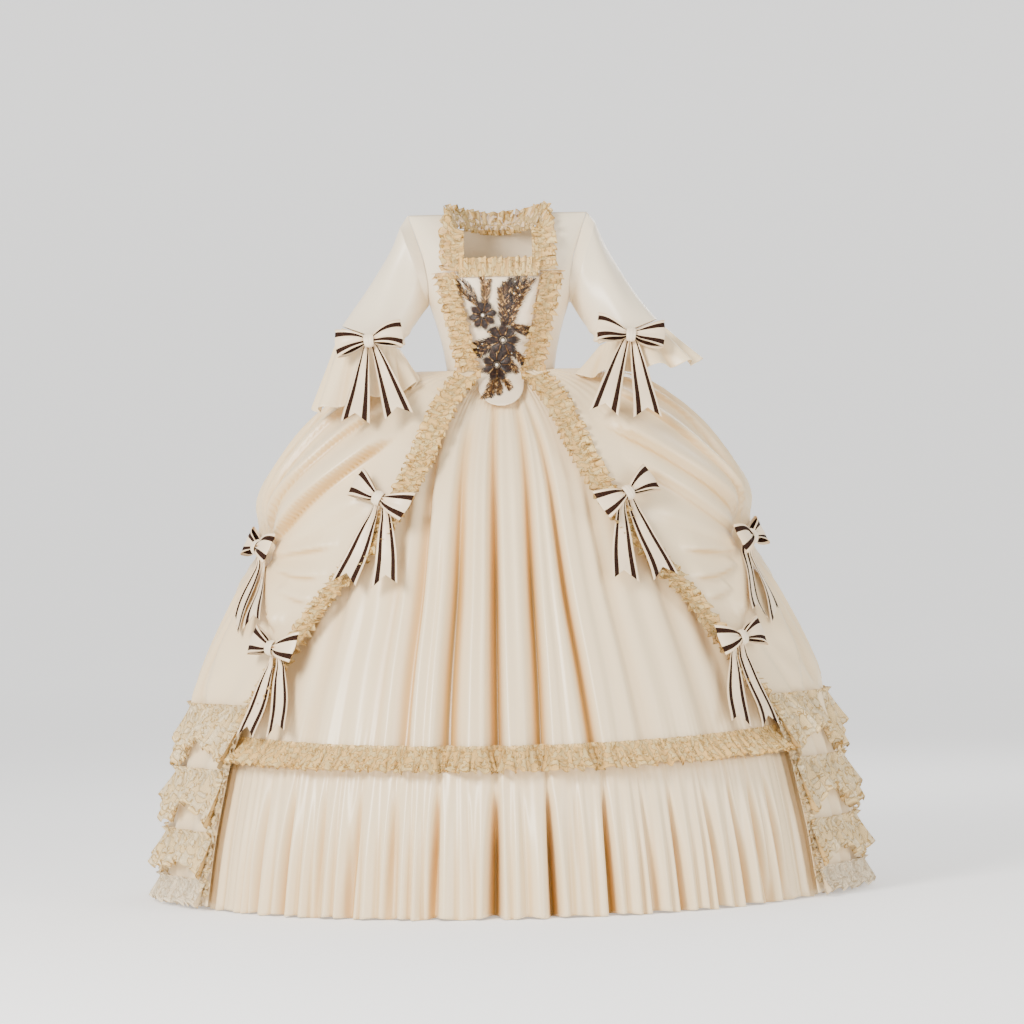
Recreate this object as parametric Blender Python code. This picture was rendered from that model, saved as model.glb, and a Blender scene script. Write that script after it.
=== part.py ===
"""Robe a la francaise: a hollow, worn gown of cloth walls, with its petticoat, sack back, lace and bows.

Units are metres, +X is the viewer's right, the front faces -Y and +Z is up. The gown is designed from its hem
plane at zero, and every object is then lowered so that the origin lies between the shoulders.
Turn is the angle round the skirt in degrees: 0 at the front, 90 at +X, 180 at the back.
"""

import math

import bmesh
import bpy
import numpy as np

SHOULDER_HEIGHT = 1.380
WAIST_HEIGHT = 1.055
CLOTH = 0.0015
PLEATED_CLOTH = 0.002
LACE = 0.0012
GAP = 0.0006
FLOUNCE_TOP = 0.285
SIDES = {"left": -1, "right": 1}

# The petticoat's bell, one row for each level: how far the cloth has dropped from the waist, how much the
# side stands above the front there, and the bell's half width and depths.
DROP, SIDE_LIFT, HALF_WIDTH, FRONT_DEPTH, BACK_DEPTH = range(5)
PETTICOAT_FORM = (
    (0.000, 0.000, 0.104, 0.076, 0.074),
    (0.030, 0.022, 0.165, 0.105, 0.112),
    (0.070, 0.044, 0.235, 0.148, 0.165),
    (0.130, 0.052, 0.315, 0.205, 0.235),
    (0.220, 0.044, 0.385, 0.275, 0.315),
    (0.330, 0.028, 0.430, 0.335, 0.375),
    (0.450, 0.014, 0.475, 0.395, 0.430),
    (0.600, 0.000, 0.545, 0.460, 0.490),
    (0.750, 0.000, 0.600, 0.515, 0.540),
    (0.900, 0.000, 0.635, 0.570, 0.585),
    (1.055, 0.000, 0.660, 0.610, 0.620),
)

# How far the overskirt stands off the petticoat, at its front edge and at the side of the gown, and above it.
EDGE_OFF, SIDE_OFF, RAISED = 1, 2, 3
OVERSKIRT_OFF = (
    (0.000, 0.008, 0.008, 0.003),
    (0.030, 0.012, 0.014, 0.011),
    (0.070, 0.016, 0.022, 0.016),
    (0.130, 0.020, 0.032, 0.014),
    (0.200, 0.022, 0.054, 0.008),
    (0.270, 0.022, 0.066, 0.003),
    (0.350, 0.020, 0.044, 0.000),
    (0.400, 0.018, 0.050, 0.000),
    (0.470, 0.018, 0.062, 0.000),
    (0.600, 0.018, 0.074, 0.000),
    (0.750, 0.018, 0.060, 0.000),
    (0.900, 0.018, 0.056, 0.000),
    (1.055, 0.018, 0.056, 0.000),
)

# Where the overskirt's open front edge lies at each drop.
EDGE_TURN = 1
OVERSKIRT_EDGE = (
    (0.000, 22.0),
    (0.070, 22.0),
    (0.180, 23.0),
    (0.270, 27.5),
    (0.400, 39.0),
    (0.480, 46.5),
    (0.550, 50.5),
    (0.620, 55.0),
    (0.700, 60.0),
    (0.850, 61.5),
    (1.055, 62.0),
)
OVERSKIRT_BACK_TURN = 153.0

# The swags of the looped-up overskirt, each a soft ridge that runs from a start to an end (turn, drop).
SWAG_START_TURN, SWAG_START_DROP, SWAG_END_TURN, SWAG_END_DROP, SWAG_RISE, SWAG_REACH = range(6)
SWAGS = (
    (30.0, 0.050, 84.0, 0.330, 0.022, 0.030),
    (44.0, 0.040, 92.0, 0.290, 0.018, 0.026),
    (70.0, 0.050, 104.0, 0.260, 0.014, 0.026),
    (120.0, 0.080, 98.0, 0.330, 0.016, 0.030),
    (36.0, 0.300, 84.0, 0.370, 0.014, 0.026),
    (44.0, 0.420, 86.0, 0.400, 0.014, 0.026),
)

# Valleys of the petticoat's pleats, by turn and by depth at mid-height.
FOLD_TURN, FOLD_DEPTH = 0, 1
PETTICOAT_FOLDS = {
    "front": (
        (-50.0, 0.012),
        (-38.0, 0.014),
        (-27.0, 0.016),
        (-18.0, 0.016),
        (-10.5, 0.022),
        (-2.0, 0.034),
        (6.0, 0.026),
        (12.0, 0.016),
        (18.5, 0.026),
        (28.0, 0.014),
        (38.0, 0.014),
        (50.0, 0.012),
    ),
    "right": ((66.0, 0.010), (79.0, 0.012), (92.0, 0.010), (105.0, 0.012)),
    "back": (
        (122.0, 0.012),
        (135.0, 0.014),
        (148.0, 0.012),
        (161.0, 0.014),
        (173.0, 0.016),
        (186.0, 0.014),
        (198.0, 0.012),
        (211.0, 0.014),
        (225.0, 0.012),
        (238.0, 0.012),
    ),
    "left": ((255.0, 0.012), (268.0, 0.010), (281.0, 0.012), (294.0, 0.010)),
}
PETTICOAT_TURNS = {
    "front": (-58.0, 58.0),
    "right": (58.4, 115.6),
    "back": (116.0, 244.0),
    "left": (244.4, 301.6),
}
FLOUNCE_PLEATS = {"front": 19, "right": 8, "back": 16, "left": 8}
FLOUNCE_PLEAT_DEPTH = 0.022

# The bodice on a general figure, a row for each height: ring sizes, the front opening and the armhole.
HEIGHT, BODY_WIDTH, BODY_FRONT, BODY_BACK, OPENING, ARMHOLE = range(6)
BODICE_FORM = (
    (1.055, 0.1090, 0.082, 0.078, 0.050, 0.1090),
    (1.110, 0.1180, 0.097, 0.086, 0.058, 0.1180),
    (1.160, 0.1310, 0.113, 0.094, 0.066, 0.1310),
    (1.195, 0.1420, 0.120, 0.099, 0.073, 0.1415),
    (1.240, 0.1560, 0.117, 0.103, 0.081, 0.1440),
    (1.290, 0.1690, 0.098, 0.099, 0.086, 0.1530),
    (1.335, 0.1800, 0.066, 0.080, 0.090, 0.1670),
    (1.370, 0.1880, 0.028, 0.042, 0.095, 0.1790),
    (1.385, 0.1910, 0.004, 0.004, 0.098, 0.1830),
)
RING_POWER = 2.4
UNDERARM_HEIGHT = 1.195
NECK_BACK_HEIGHT = 1.352

# The stomacher's cut: height and half width, from its point up.
STOMACHER_HALF_WIDTH = 1
STOMACHER_SHAPE = (
    (0.985, 0.016),
    (1.000, 0.030),
    (1.025, 0.041),
    (1.055, 0.046),
    (1.150, 0.061),
    (1.250, 0.077),
)

# Sleeve sections from the armhole down: the outer and inner ends across, the half depth and the middle's y.
OUTER_X, OUTER_Z, INNER_X, INNER_Z, SLEEVE_DEEP, SLEEVE_Y = range(6)
SLEEVE_SECTIONS = (
    (0.1990, 1.357, 0.1460, 1.194, 0.064, -0.004),
    (0.2180, 1.310, 0.1530, 1.182, 0.061, -0.012),
    (0.2430, 1.262, 0.1660, 1.160, 0.057, -0.026),
    (0.2720, 1.215, 0.1800, 1.137, 0.055, -0.042),
    (0.3000, 1.178, 0.1910, 1.118, 0.054, -0.058),
    (0.3200, 1.154, 0.2000, 1.106, 0.054, -0.070),
)
# The satin flounce's open end on each side, with the same columns and how much its back edge is lifted.
BACK_LIFT = 6
FLOUNCE_END = {
    "left": (0.3750, 0.985, 0.1700, 1.034, 0.068, -0.118, 0.034),
    "right": (0.4000, 1.068, 0.1560, 1.044, 0.060, -0.104, 0.014),
}
FLOUNCE_WAVES = 7
FLOUNCE_WAVE_DEPTH = 0.012

# The sack back: height, half width of one pleated width and how far it stands off what is under it.
PLEAT_EDGE, PLEAT_OFF = 1, 2
WATTEAU_FORM = (
    (1.345, 0.080, 0.006),
    (1.300, 0.084, 0.008),
    (1.240, 0.088, 0.012),
    (1.150, 0.096, 0.030),
    (1.062, 0.112, 0.080),
    (0.960, 0.140, 0.060),
    (0.850, 0.172, 0.040),
    (0.700, 0.212, 0.026),
    (0.500, 0.262, 0.020),
    (0.300, 0.300, 0.016),
    (0.150, 0.326, 0.014),
    (0.003, 0.345, 0.014),
)

# Ruffled tiers on the lower overskirt: heading height, hem height and how far the hem flares out.
TIER_TOP, TIER_BOTTOM, TIER_FLARE = 1, 2, 3
TIERS = (
    ("tier_upper", 0.403, 0.292, 0.030),
    ("tier_middle", 0.280, 0.166, 0.028),
    ("tier_lower", 0.154, 0.068, 0.024),
    ("hem_lace", 0.058, 0.004, 0.016),
)
TIER_WAVES = 9
TIER_WAVE_DEPTH = 0.010

LACE_WIDTH = 0.042
RIBBON_WIDTH = 0.052
LOOP_REACH = 0.068
LOOP_END = 0.060
LOOP_RISE = 0.007
LOOP_PINCH = 0.0032
LOOP_PUFF = 0.018
KNOT_WIDTH = 0.020
TAIL_LENGTH = 0.175
TAILS_APART = 0.003
TAIL_BEHIND, TAIL_SINK = 0.0115, 0.010
TAIL_TILT = math.radians(10)
TAIL_SPREAD = math.radians(4.5)

# Bows on the overskirt: the knot's turn and drop, how far it stands off, the lean of its tails sideways in
# degrees, and how many degrees more its loops tip, outer end up.
BOW_NAME, BOW_TURN, BOW_DROP, BOW_OFF, BOW_LEAN, BOW_TIP = range(6)
SKIRT_BOWS = (
    ("upper", 32.5, 0.280, 0.034, -1.0, 21.0),
    ("side", 74.0, 0.380, 0.034, -16.0, 22.0),
    ("lower", 53.8, 0.558, 0.036, -5.0, 11.0),
)
SLEEVE_BOW_PLACE = (0.262, -0.164, 1.120)
SLEEVE_BOW_TURN, SLEEVE_BOW_LEAN, SLEEVE_BOW_SLOPE = 8.0, -8.0, 27.0

IVORY = (0.84, 0.75, 0.60)
IVORY_LIGHT = (0.88, 0.82, 0.70)
LACE_GOLD = (0.66, 0.54, 0.33)
BEAD_BROWN = (0.09, 0.05, 0.03)


def clear_scene():
    for obj in list(bpy.data.objects):
        bpy.data.objects.remove(obj)


def material(name, colour, roughness, metallic=0.0):
    made = bpy.data.materials.new(name)
    made.use_nodes = True
    shader = made.node_tree.nodes["Principled BSDF"]
    shader.inputs["Base Color"].default_value = (*colour, 1.0)
    shader.inputs["Roughness"].default_value = roughness
    shader.inputs["Metallic"].default_value = metallic
    return made


def read(table, key, at):
    """The table's column at this value of its first column, on a smooth curve through the rows."""
    first = np.array([row[0] for row in table])
    values = np.array([row[key] for row in table])
    if first[0] > first[-1]:
        first, values = first[::-1], values[::-1]
    at = min(max(at, first[0]), first[-1])
    slopes = np.gradient(values, first)
    low = min(int(np.searchsorted(first, at, side="right")) - 1, len(first) - 2)
    step = first[low + 1] - first[low]
    u = (at - first[low]) / step
    start = (2 * u**3 - 3 * u**2 + 1) * values[low] + (u**3 - 2 * u**2 + u) * step * slopes[low]
    end = (3 * u**2 - 2 * u**3) * values[low + 1] + (u**3 - u**2) * step * slopes[low + 1]
    return float(start + end)


def blend(start, end, share):
    return start + (end - start) * share


def ease(share):
    share = min(max(share, 0.0), 1.0)
    return share * share * (3 - 2 * share)


def grid_faces(rows, columns, closed):
    faces = []
    for row in range(rows - 1):
        here, below = row * columns, (row + 1) * columns
        for column in range(columns if closed else columns - 1):
            following = (column + 1) % columns
            faces.append((here + column, below + column, below + following, here + following))
    return faces


def point_normals(points, faces):
    normals = np.zeros_like(points)
    for face in faces:
        corners = points[list(face)]
        normal = np.cross(corners[2] - corners[0], corners[3] - corners[1])
        for corner in face:
            normals[corner] += normal
    return normals / np.linalg.norm(normals, axis=1, keepdims=True)


def cloth_wall(name, points, faces, thickness, look, both_sides=False):
    """A closed wall of cloth: the outer face on the points and the inner one behind, joined at the edges."""
    normals = point_normals(points, faces)
    forward = normals * thickness / 2 if both_sides else normals * 0.0
    front = points + forward
    back = front - normals * thickness
    count = len(points)
    edges = {}
    for face in faces:
        for start, end in zip(face, face[1:] + face[:1]):
            edges[(start, end)] = True
    rims = [(start, end) for start, end in edges if (end, start) not in edges]
    solid_faces = [tuple(face) for face in faces]
    solid_faces += [tuple(count + corner for corner in reversed(face)) for face in faces]
    solid_faces += [(end, start, count + start, count + end) for start, end in rims]
    mesh = bpy.data.meshes.new(name)
    mesh.from_pydata([tuple(p) for p in np.vstack([front, back])], [], solid_faces)
    builder = bmesh.new()
    builder.from_mesh(mesh)
    loose = [vert for vert in builder.verts if not vert.link_faces]
    bmesh.ops.delete(builder, geom=loose, context="VERTS")
    bmesh.ops.triangulate(builder, faces=builder.faces[:])
    bmesh.ops.recalc_face_normals(builder, faces=builder.faces[:])
    builder.to_mesh(mesh)
    builder.free()
    mesh.shade_smooth()
    mesh.set_sharp_from_angle(angle=math.radians(50))
    obj = bpy.data.objects.new(name, mesh)
    obj.location.z = -SHOULDER_HEIGHT
    obj.data.materials.append(look)
    bpy.context.scene.collection.objects.link(obj)
    return obj


def cloth_grid(name, rows, thickness, look, closed=False, both_sides=False):
    points = np.array([point for row in rows for point in row], float)
    faces = grid_faces(len(rows), len(rows[0]), closed)
    return cloth_wall(name, points, faces, thickness, look, both_sides)


def form_point(turn, drop, off=0.0):
    """A point on the petticoat's bell, moved out by off."""
    angle = math.radians(turn)
    sine, cosine = math.sin(angle), math.cos(angle)
    depth = read(PETTICOAT_FORM, FRONT_DEPTH if cosine > 0 else BACK_DEPTH, drop)
    width = read(PETTICOAT_FORM, HALF_WIDTH, drop)
    height = WAIST_HEIGHT - drop + read(PETTICOAT_FORM, SIDE_LIFT, drop) * sine**2
    return np.array([(width + off) * sine, -(depth + off) * cosine, height])


def swag_rise(turn, drop):
    """How far the overskirt's swags lift its cloth at this place."""
    rise = 0.0
    for swag in SWAGS:
        down = swag[SWAG_END_DROP] - swag[SWAG_START_DROP]
        along = ((swag[SWAG_END_TURN] - swag[SWAG_START_TURN]) / 90, down)
        here = ((turn - swag[SWAG_START_TURN]) / 90, drop - swag[SWAG_START_DROP])
        length = math.hypot(*along)
        share = (here[0] * along[0] + here[1] * along[1]) / length**2
        aside = abs(here[0] * along[1] - here[1] * along[0]) / length
        if 0.0 < share < 1.0:
            rise += swag[SWAG_RISE] * math.sin(math.pi * share) * math.exp(-((aside / swag[SWAG_REACH]) ** 2))
    return rise


def overskirt_point(side, turn, drop, off=0.0):
    edge = read(OVERSKIRT_EDGE, EDGE_TURN, drop)
    share = ease((turn - edge) / (90.0 - edge))
    stand = blend(read(OVERSKIRT_OFF, EDGE_OFF, drop), read(OVERSKIRT_OFF, SIDE_OFF, drop), share)
    point = form_point(turn, drop, stand + swag_rise(turn, drop) + off)
    point[0] *= side
    point[2] += read(OVERSKIRT_OFF, RAISED, drop)
    return point


def body_y(x, height, key):
    """How far the figure reaches forwards or back at this place."""
    width = read(BODICE_FORM, BODY_WIDTH, height)
    share = min(abs(x) / width, 1.0)
    return read(BODICE_FORM, key, height) * (1 - share**RING_POWER) ** (1 / RING_POWER)


def body_front(x, height, off=0.0):
    return np.array([x, -body_y(x, height, BODY_FRONT) - off, height])


def body_back(x, height, off=0.0):
    return np.array([x, body_y(x, height, BODY_BACK) + off, height])


def bodice_heights(top):
    heights = [1.056, 1.100, 1.145, 1.193, 1.215, 1.245, 1.285, 1.325, 1.355]
    return [height for height in heights if height < top] + [top]


def build_bodice(satin):
    for side_name, side in SIDES.items():
        rows = []
        for height in reversed(bodice_heights(1.379)):
            inner = read(BODICE_FORM, OPENING, height)
            outer = read(BODICE_FORM, ARMHOLE, height)
            xs = [blend(inner, outer, ease(share) * 0.5 + share * 0.5) for share in np.linspace(0, 1, 6)]
            rows.append([body_front(side * x, height, 0.002) for x in xs][::side])
        cloth_grid(f"bodice_front_{side_name}", rows, CLOTH, satin)
    rows = []
    for share in (1.0, 0.85, 0.7, 0.55, 0.42, 0.2, 0.0):
        row = []
        for across in np.linspace(-1, 1, 11):
            top = blend(NECK_BACK_HEIGHT, 1.379, ease((abs(across) - 0.42) / 0.2))
            height = blend(1.056, top, share)
            row.append(body_back(-across * read(BODICE_FORM, ARMHOLE, height), height, 0.002))
        rows.append(row)
    cloth_grid("bodice_back", rows, CLOTH, satin)


def stomacher_half_width(height):
    return read(STOMACHER_SHAPE, STOMACHER_HALF_WIDTH, height)


def stomacher_point(across, height, off=0.0):
    """A point on the stomacher, which runs on flat below the waist to its rounded point."""
    x = across * stomacher_half_width(height)
    level = max(height, WAIST_HEIGHT)
    below = max(WAIST_HEIGHT - height, 0.0)
    point = body_front(x, level, 0.006 + off + 1.15 * below)
    point[2] = height
    return point


def build_stomacher(satin_light, beads):
    heights = [1.250, 1.200, 1.150, 1.100, 1.060, 1.030, 1.008, 0.990]
    rows = [[stomacher_point(across, height) for across in np.linspace(-1, 1, 7)] for height in heights]
    cloth_grid("stomacher", rows, CLOTH, satin_light)
    # The applique's outline: across the stomacher on its left and right edge at each height.
    outline = (
        (1.236, -0.62, 0.60),
        (1.200, -0.50, 0.66),
        (1.150, -0.48, 0.48),
        (1.100, -0.62, 0.62),
        (1.060, -0.58, 0.48),
        (1.030, -0.42, 0.38),
        (1.010, -0.30, 0.30),
    )
    rows = [
        [stomacher_point(across, height, LACE + 0.0012 + GAP) for across in np.linspace(left, right, 5)]
        for height, left, right in outline
    ]
    cloth_grid("stomacher_applique", rows, LACE, beads)


def armhole_point(side, angle, off):
    """A point on the seam between bodice and sleeve, from the shoulder (0) round the front (90) and back."""
    height = blend(UNDERARM_HEIGHT + 0.001, 1.379, (1 + math.cos(math.radians(angle))) / 2)
    x = read(BODICE_FORM, ARMHOLE, height)
    key = BODY_FRONT if math.sin(math.radians(angle)) >= 0 else BODY_BACK
    reach = body_y(x, height, key) * (1 if key == BODY_FRONT else -1)
    return np.array([side * (x + off), -reach, height])


def section_point(side, section, angle, wave=0.0):
    """A point on a sleeve's section: angle 0 is its outer end and 90 its front."""
    cosine, sine = math.cos(math.radians(angle)), math.sin(math.radians(angle))
    x = blend(section[INNER_X], section[OUTER_X], (1 + cosine) / 2) + wave * cosine
    z = blend(section[INNER_Z], section[OUTER_Z], (1 + cosine) / 2)
    return np.array([side * x, section[SLEEVE_Y] - (section[SLEEVE_DEEP] + wave) * sine, z])


def ring_angles(side, count):
    angles = [360 * i / count for i in range(count)]
    return angles if side > 0 else angles[::-1]


def build_sleeves(satin):
    for side_name, side in SIDES.items():
        angles = [-angle for angle in ring_angles(side, 12)]
        rows = [[armhole_point(side, angle, 0.0035) for angle in angles]]
        rows += [[section_point(side, section, angle) for angle in angles] for section in SLEEVE_SECTIONS]
        cloth_grid(f"sleeve_{side_name}", rows, CLOTH, satin, closed=True)
        start, end = SLEEVE_SECTIONS[-1], FLOUNCE_END[side_name]
        angles = [-angle for angle in ring_angles(side, 2 * FLOUNCE_WAVES)]
        rows = []
        for share in (0.0, 0.33, 0.66, 1.0):
            section = [blend(a, b, share) for a, b in zip(start, end)]
            row = []
            for number, angle in enumerate(angles):
                wave = FLOUNCE_WAVE_DEPTH * share * (1 if number % 2 else -1)
                point = section_point(side, section, angle, wave)
                point[2] -= 0.004
                point[2] += end[BACK_LIFT] * share * max(-math.sin(math.radians(angle)), 0.0)
                row.append(point)
            rows.append(row)
        cloth_grid(f"sleeve_flounce_{side_name}", rows, CLOTH, satin, closed=True)


def fold_columns(folds, first, last):
    """(turn, depth) of each ridge and valley between the first and last turn of a width."""
    turns = [fold[FOLD_TURN] for fold in folds]
    ridges = [first] + [(a + b) / 2 for a, b in zip(turns, turns[1:])] + [last]
    columns = [(ridges[0], 0.0)]
    for fold, ridge in zip(folds, ridges[1:]):
        columns += [(fold[FOLD_TURN], fold[FOLD_DEPTH]), (ridge, 0.0)]
    return columns


def build_petticoat(satin, lace):
    bottom = WAIST_HEIGHT - FLOUNCE_TOP - 0.002
    drops = [0.003, 0.030, 0.070, 0.150, 0.300, 0.500, bottom]
    for part, (first, last) in PETTICOAT_TURNS.items():
        columns = fold_columns(PETTICOAT_FOLDS[part], first, last)
        rows = []
        for drop in drops:
            share = min(0.10 + drop / 0.30, 1.0)
            rows.append([form_point(turn, drop, -depth * share) for turn, depth in columns])
        cloth_grid(f"petticoat_{part}", rows, PLEATED_CLOTH, satin)
        pleats = FLOUNCE_PLEATS[part]
        rows = []
        for drop in (bottom + 0.004, WAIST_HEIGHT - 0.001):
            share = 0.35 + 0.65 * ease((drop - bottom) / 0.15)
            row = []
            for number in range(2 * pleats + 1):
                turn = blend(first, last, number / (2 * pleats))
                row.append(form_point(turn, drop, 0.004 - FLOUNCE_PLEAT_DEPTH * share * (number % 2)))
            rows.append(row)
        cloth_grid(f"petticoat_flounce_{part}", rows, PLEATED_CLOTH, satin)
    rows = []
    for height, off in ((0.330, 0.0035), (0.300, 0.0065), (0.266, 0.0095)):
        turns = np.linspace(-62.6, 62.6, 37)
        wave = 0.0 if height == 0.300 else 0.003
        offs = [off + wave * (number % 2) for number in range(len(turns))]
        rows.append([form_point(turn, WAIST_HEIGHT - height, stand) for turn, stand in zip(turns, offs)])
    cloth_grid("petticoat_lace", rows, LACE, lace)


def build_overskirt(satin, lace):
    drops = [0.004, 0.040, 0.080, 0.130, 0.190, 0.260, 0.320, 0.370, 0.450, 0.580, 0.740, 1.050]
    for side_name, side in SIDES.items():
        rows = []
        for drop in drops:
            edge = read(OVERSKIRT_EDGE, EDGE_TURN, drop)
            turns = np.linspace(edge, OVERSKIRT_BACK_TURN, 11)
            rows.append([overskirt_point(side, turn, drop) for turn in turns][::side])
        cloth_grid(f"overskirt_{side_name}", rows, CLOTH, satin)
        build_tiers(side_name, side, lace)
        build_edge_lace(side_name, side, lace)


def build_tiers(side_name, side, lace):
    for tier in TIERS:
        rows = []
        for share in (0.0, 1.0):
            row = []
            for number in range(2 * TIER_WAVES + 1):
                height = blend(tier[TIER_TOP], tier[TIER_BOTTOM], share)
                drop = WAIST_HEIGHT - height
                edge = read(OVERSKIRT_EDGE, EDGE_TURN, drop) + 0.5
                turn = blend(edge, OVERSKIRT_BACK_TURN - 3.0, number / (2 * TIER_WAVES))
                wave = TIER_WAVE_DEPTH * share * (number % 2)
                row.append(overskirt_point(side, turn, drop, 0.0035 + tier[TIER_FLARE] * share**1.5 - wave))
            rows.append(row[::side])
        cloth_grid(f"{tier[0]}_{side_name}", rows, LACE, lace)


def build_edge_lace(side_name, side, lace):
    """The lace ruffle along the overskirt's front edge, half on the overskirt and half past it."""
    rows = []
    for number, drop in enumerate(np.linspace(0.065, 0.640, 21)):
        edge = read(OVERSKIRT_EDGE, EDGE_TURN, drop)
        radius = 0.5 * (read(PETTICOAT_FORM, HALF_WIDTH, drop) + read(PETTICOAT_FORM, FRONT_DEPTH, drop))
        reach = math.degrees(LACE_WIDTH / radius)
        wave = 0.004 * (number % 2)
        shares = (0.35, 0.0, -0.35)
        waves = (wave, 0.001, 0.004 - wave)
        row = [lace_point(side, edge - reach * s, drop, w, edge) for s, w in zip(shares, waves)]
        rows.append(row[::side])
    cloth_grid(f"lace_edge_{side_name}", rows, LACE, lace)


def lace_point(side, turn, drop, wave, edge):
    point = overskirt_point(side, max(turn, edge), drop, 0.0022 + LACE + wave)
    if turn < edge:
        point = overskirt_point(side, edge, drop, 0.0022 + LACE + wave)
        past = form_point(turn, drop, read(OVERSKIRT_OFF, EDGE_OFF, drop) + 0.0022 + LACE + wave)
        point = np.array([side * past[0], past[1], past[2]])
    return point


def build_watteau(satin):
    """Two box-pleated widths, each from near the middle of the back to a fold at its outer edge."""
    for side_name, side in SIDES.items():
        rows = []
        for height, edge, off in WATTEAU_FORM:
            row = []
            for across, lift in ((0.0, 0.0), (0.28, 0.006), (0.52, 0.0), (0.76, 0.006), (1.0, 0.0)):
                x = max(edge * across, GAP)
                row.append(back_point(side * x, height, off + lift))
            rows.append(row[::-side])
        cloth_grid(f"watteau_pleat_{side_name}", rows, CLOTH, satin)


def back_point(x, height, off):
    """A point off the bodice's back or, below the waist, off the overskirt's own bell behind."""
    if height >= WAIST_HEIGHT:
        return body_back(x, height, 0.003 + off)
    drop = WAIST_HEIGHT - height
    stand = read(OVERSKIRT_OFF, SIDE_OFF, drop) + off
    width = read(PETTICOAT_FORM, HALF_WIDTH, drop) + stand
    sine = min(abs(x) / width, 1.0)
    depth = (read(PETTICOAT_FORM, BACK_DEPTH, drop) + stand) * math.sqrt(1 - sine**2)
    return np.array([x, depth, height])


def build_lace_ruffles(lace):
    for side_name, side in SIDES.items():
        rows = []
        for number, height in enumerate(np.linspace(1.246, 1.062, 12)):
            centre = read(BODICE_FORM, OPENING, height) + 0.010
            wave = 0.004 * (number % 2)
            rows.append(
                [
                    body_front(side * (centre - 0.018), height, 0.0105 + wave),
                    body_front(side * centre, height, 0.0095),
                    body_front(side * (centre + 0.018), height, 0.0105 + 0.004 - wave),
                ][::side]
            )
        cloth_grid(f"lace_robing_{side_name}", rows, LACE, lace)
    rows = []
    for height, off in ((1.272, 0.006), (1.262, 0.010), (1.252, 0.011)):
        row = []
        for number, across in enumerate(np.linspace(-1, 1, 15)):
            row.append(body_front(0.064 * across, height, off + 0.003 * (number % 2)))
        rows.append(row)
    cloth_grid("lace_stomacher", rows, LACE, lace)
    build_neck_lace(lace)


def build_neck_lace(lace):
    """One standing ruffle: up one side of the square neck, round the back and down the other side."""
    path = [(-1, height) for height in np.linspace(1.256, 1.372, 8)]
    path += [(across, None) for across in np.linspace(-0.86, 0.86, 9)]
    path += [(1, height) for height in np.linspace(1.372, 1.256, 8)]
    rows = []
    for number, (across, height) in enumerate(path):
        wave = 0.004 * (number % 2)
        if height is None:
            x = across * 0.088
            lean = abs(across)
            base = np.array([x, blend(0.066, 0.018, lean**2.5), blend(1.372, 1.386, lean**2)])
            tip = base + np.array([0.010 * across, 0.008 + wave, 0.050])
            row = [base + np.array([0.0, 0.004 + wave, 0.0]), blend(base, tip, 0.5), tip]
        else:
            stand = ease((height - 1.30) / 0.07)
            centre = 0.088
            inner = body_front(across * (centre - 0.020), height, 0.0105 + wave)
            middle = body_front(across * centre, height, 0.0105)
            outer = body_front(across * (centre + 0.020), height, 0.0145 - wave)
            top = body_front(across * (centre + 0.012), height, 0.010 + wave) + np.array([0.0, 0.0, 0.050])
            row = [inner, blend(middle, blend(inner, top, 0.5), stand), blend(outer, top, stand)]
        rows.append(row)
    cloth_grid("lace_neck", rows, LACE, lace)


def tilted(level, down, lean):
    """Directions across, out of and up the cloth that a bow lies on, leaning sideways by lean."""
    across = level / np.linalg.norm(level)
    up = -down / np.linalg.norm(down)
    up = up - across * np.dot(up, across)
    up /= np.linalg.norm(up)
    leaning = across * math.cos(lean) + up * math.sin(lean)
    upward = up * math.cos(lean) - across * math.sin(lean)
    return leaning, np.cross(leaning, upward), upward


def skirt_bow_frame(side, bow):
    """The knot's place on the overskirt and its directions, sloped as the cloth is under its tails."""
    turn, drop = bow[BOW_TURN], bow[BOW_DROP]
    here = overskirt_point(1, turn, drop)
    level = overskirt_point(1, turn + 2.0, drop) - overskirt_point(1, turn - 2.0, drop)
    down = overskirt_point(1, turn, drop + TAIL_LENGTH) - here
    across, out, upward = tilted(level, down, math.radians(bow[BOW_LEAN]))
    return mirrored(side, here + out * bow[BOW_OFF], across, out, upward)


def sleeve_bow_frame(side):
    turn, slope = math.radians(SLEEVE_BOW_TURN), math.radians(SLEEVE_BOW_SLOPE)
    level = np.array([math.cos(turn), math.sin(turn), 0.0])
    down = np.array([math.sin(turn) * math.sin(slope), -math.cos(turn) * math.sin(slope), -math.cos(slope)])
    across, out, upward = tilted(level, down, math.radians(SLEEVE_BOW_LEAN))
    return mirrored(side, np.array(SLEEVE_BOW_PLACE), across, out, upward)


def mirrored(side, *vectors):
    return [vector * np.array([side, 1.0, 1.0]) for vector in vectors]


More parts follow.
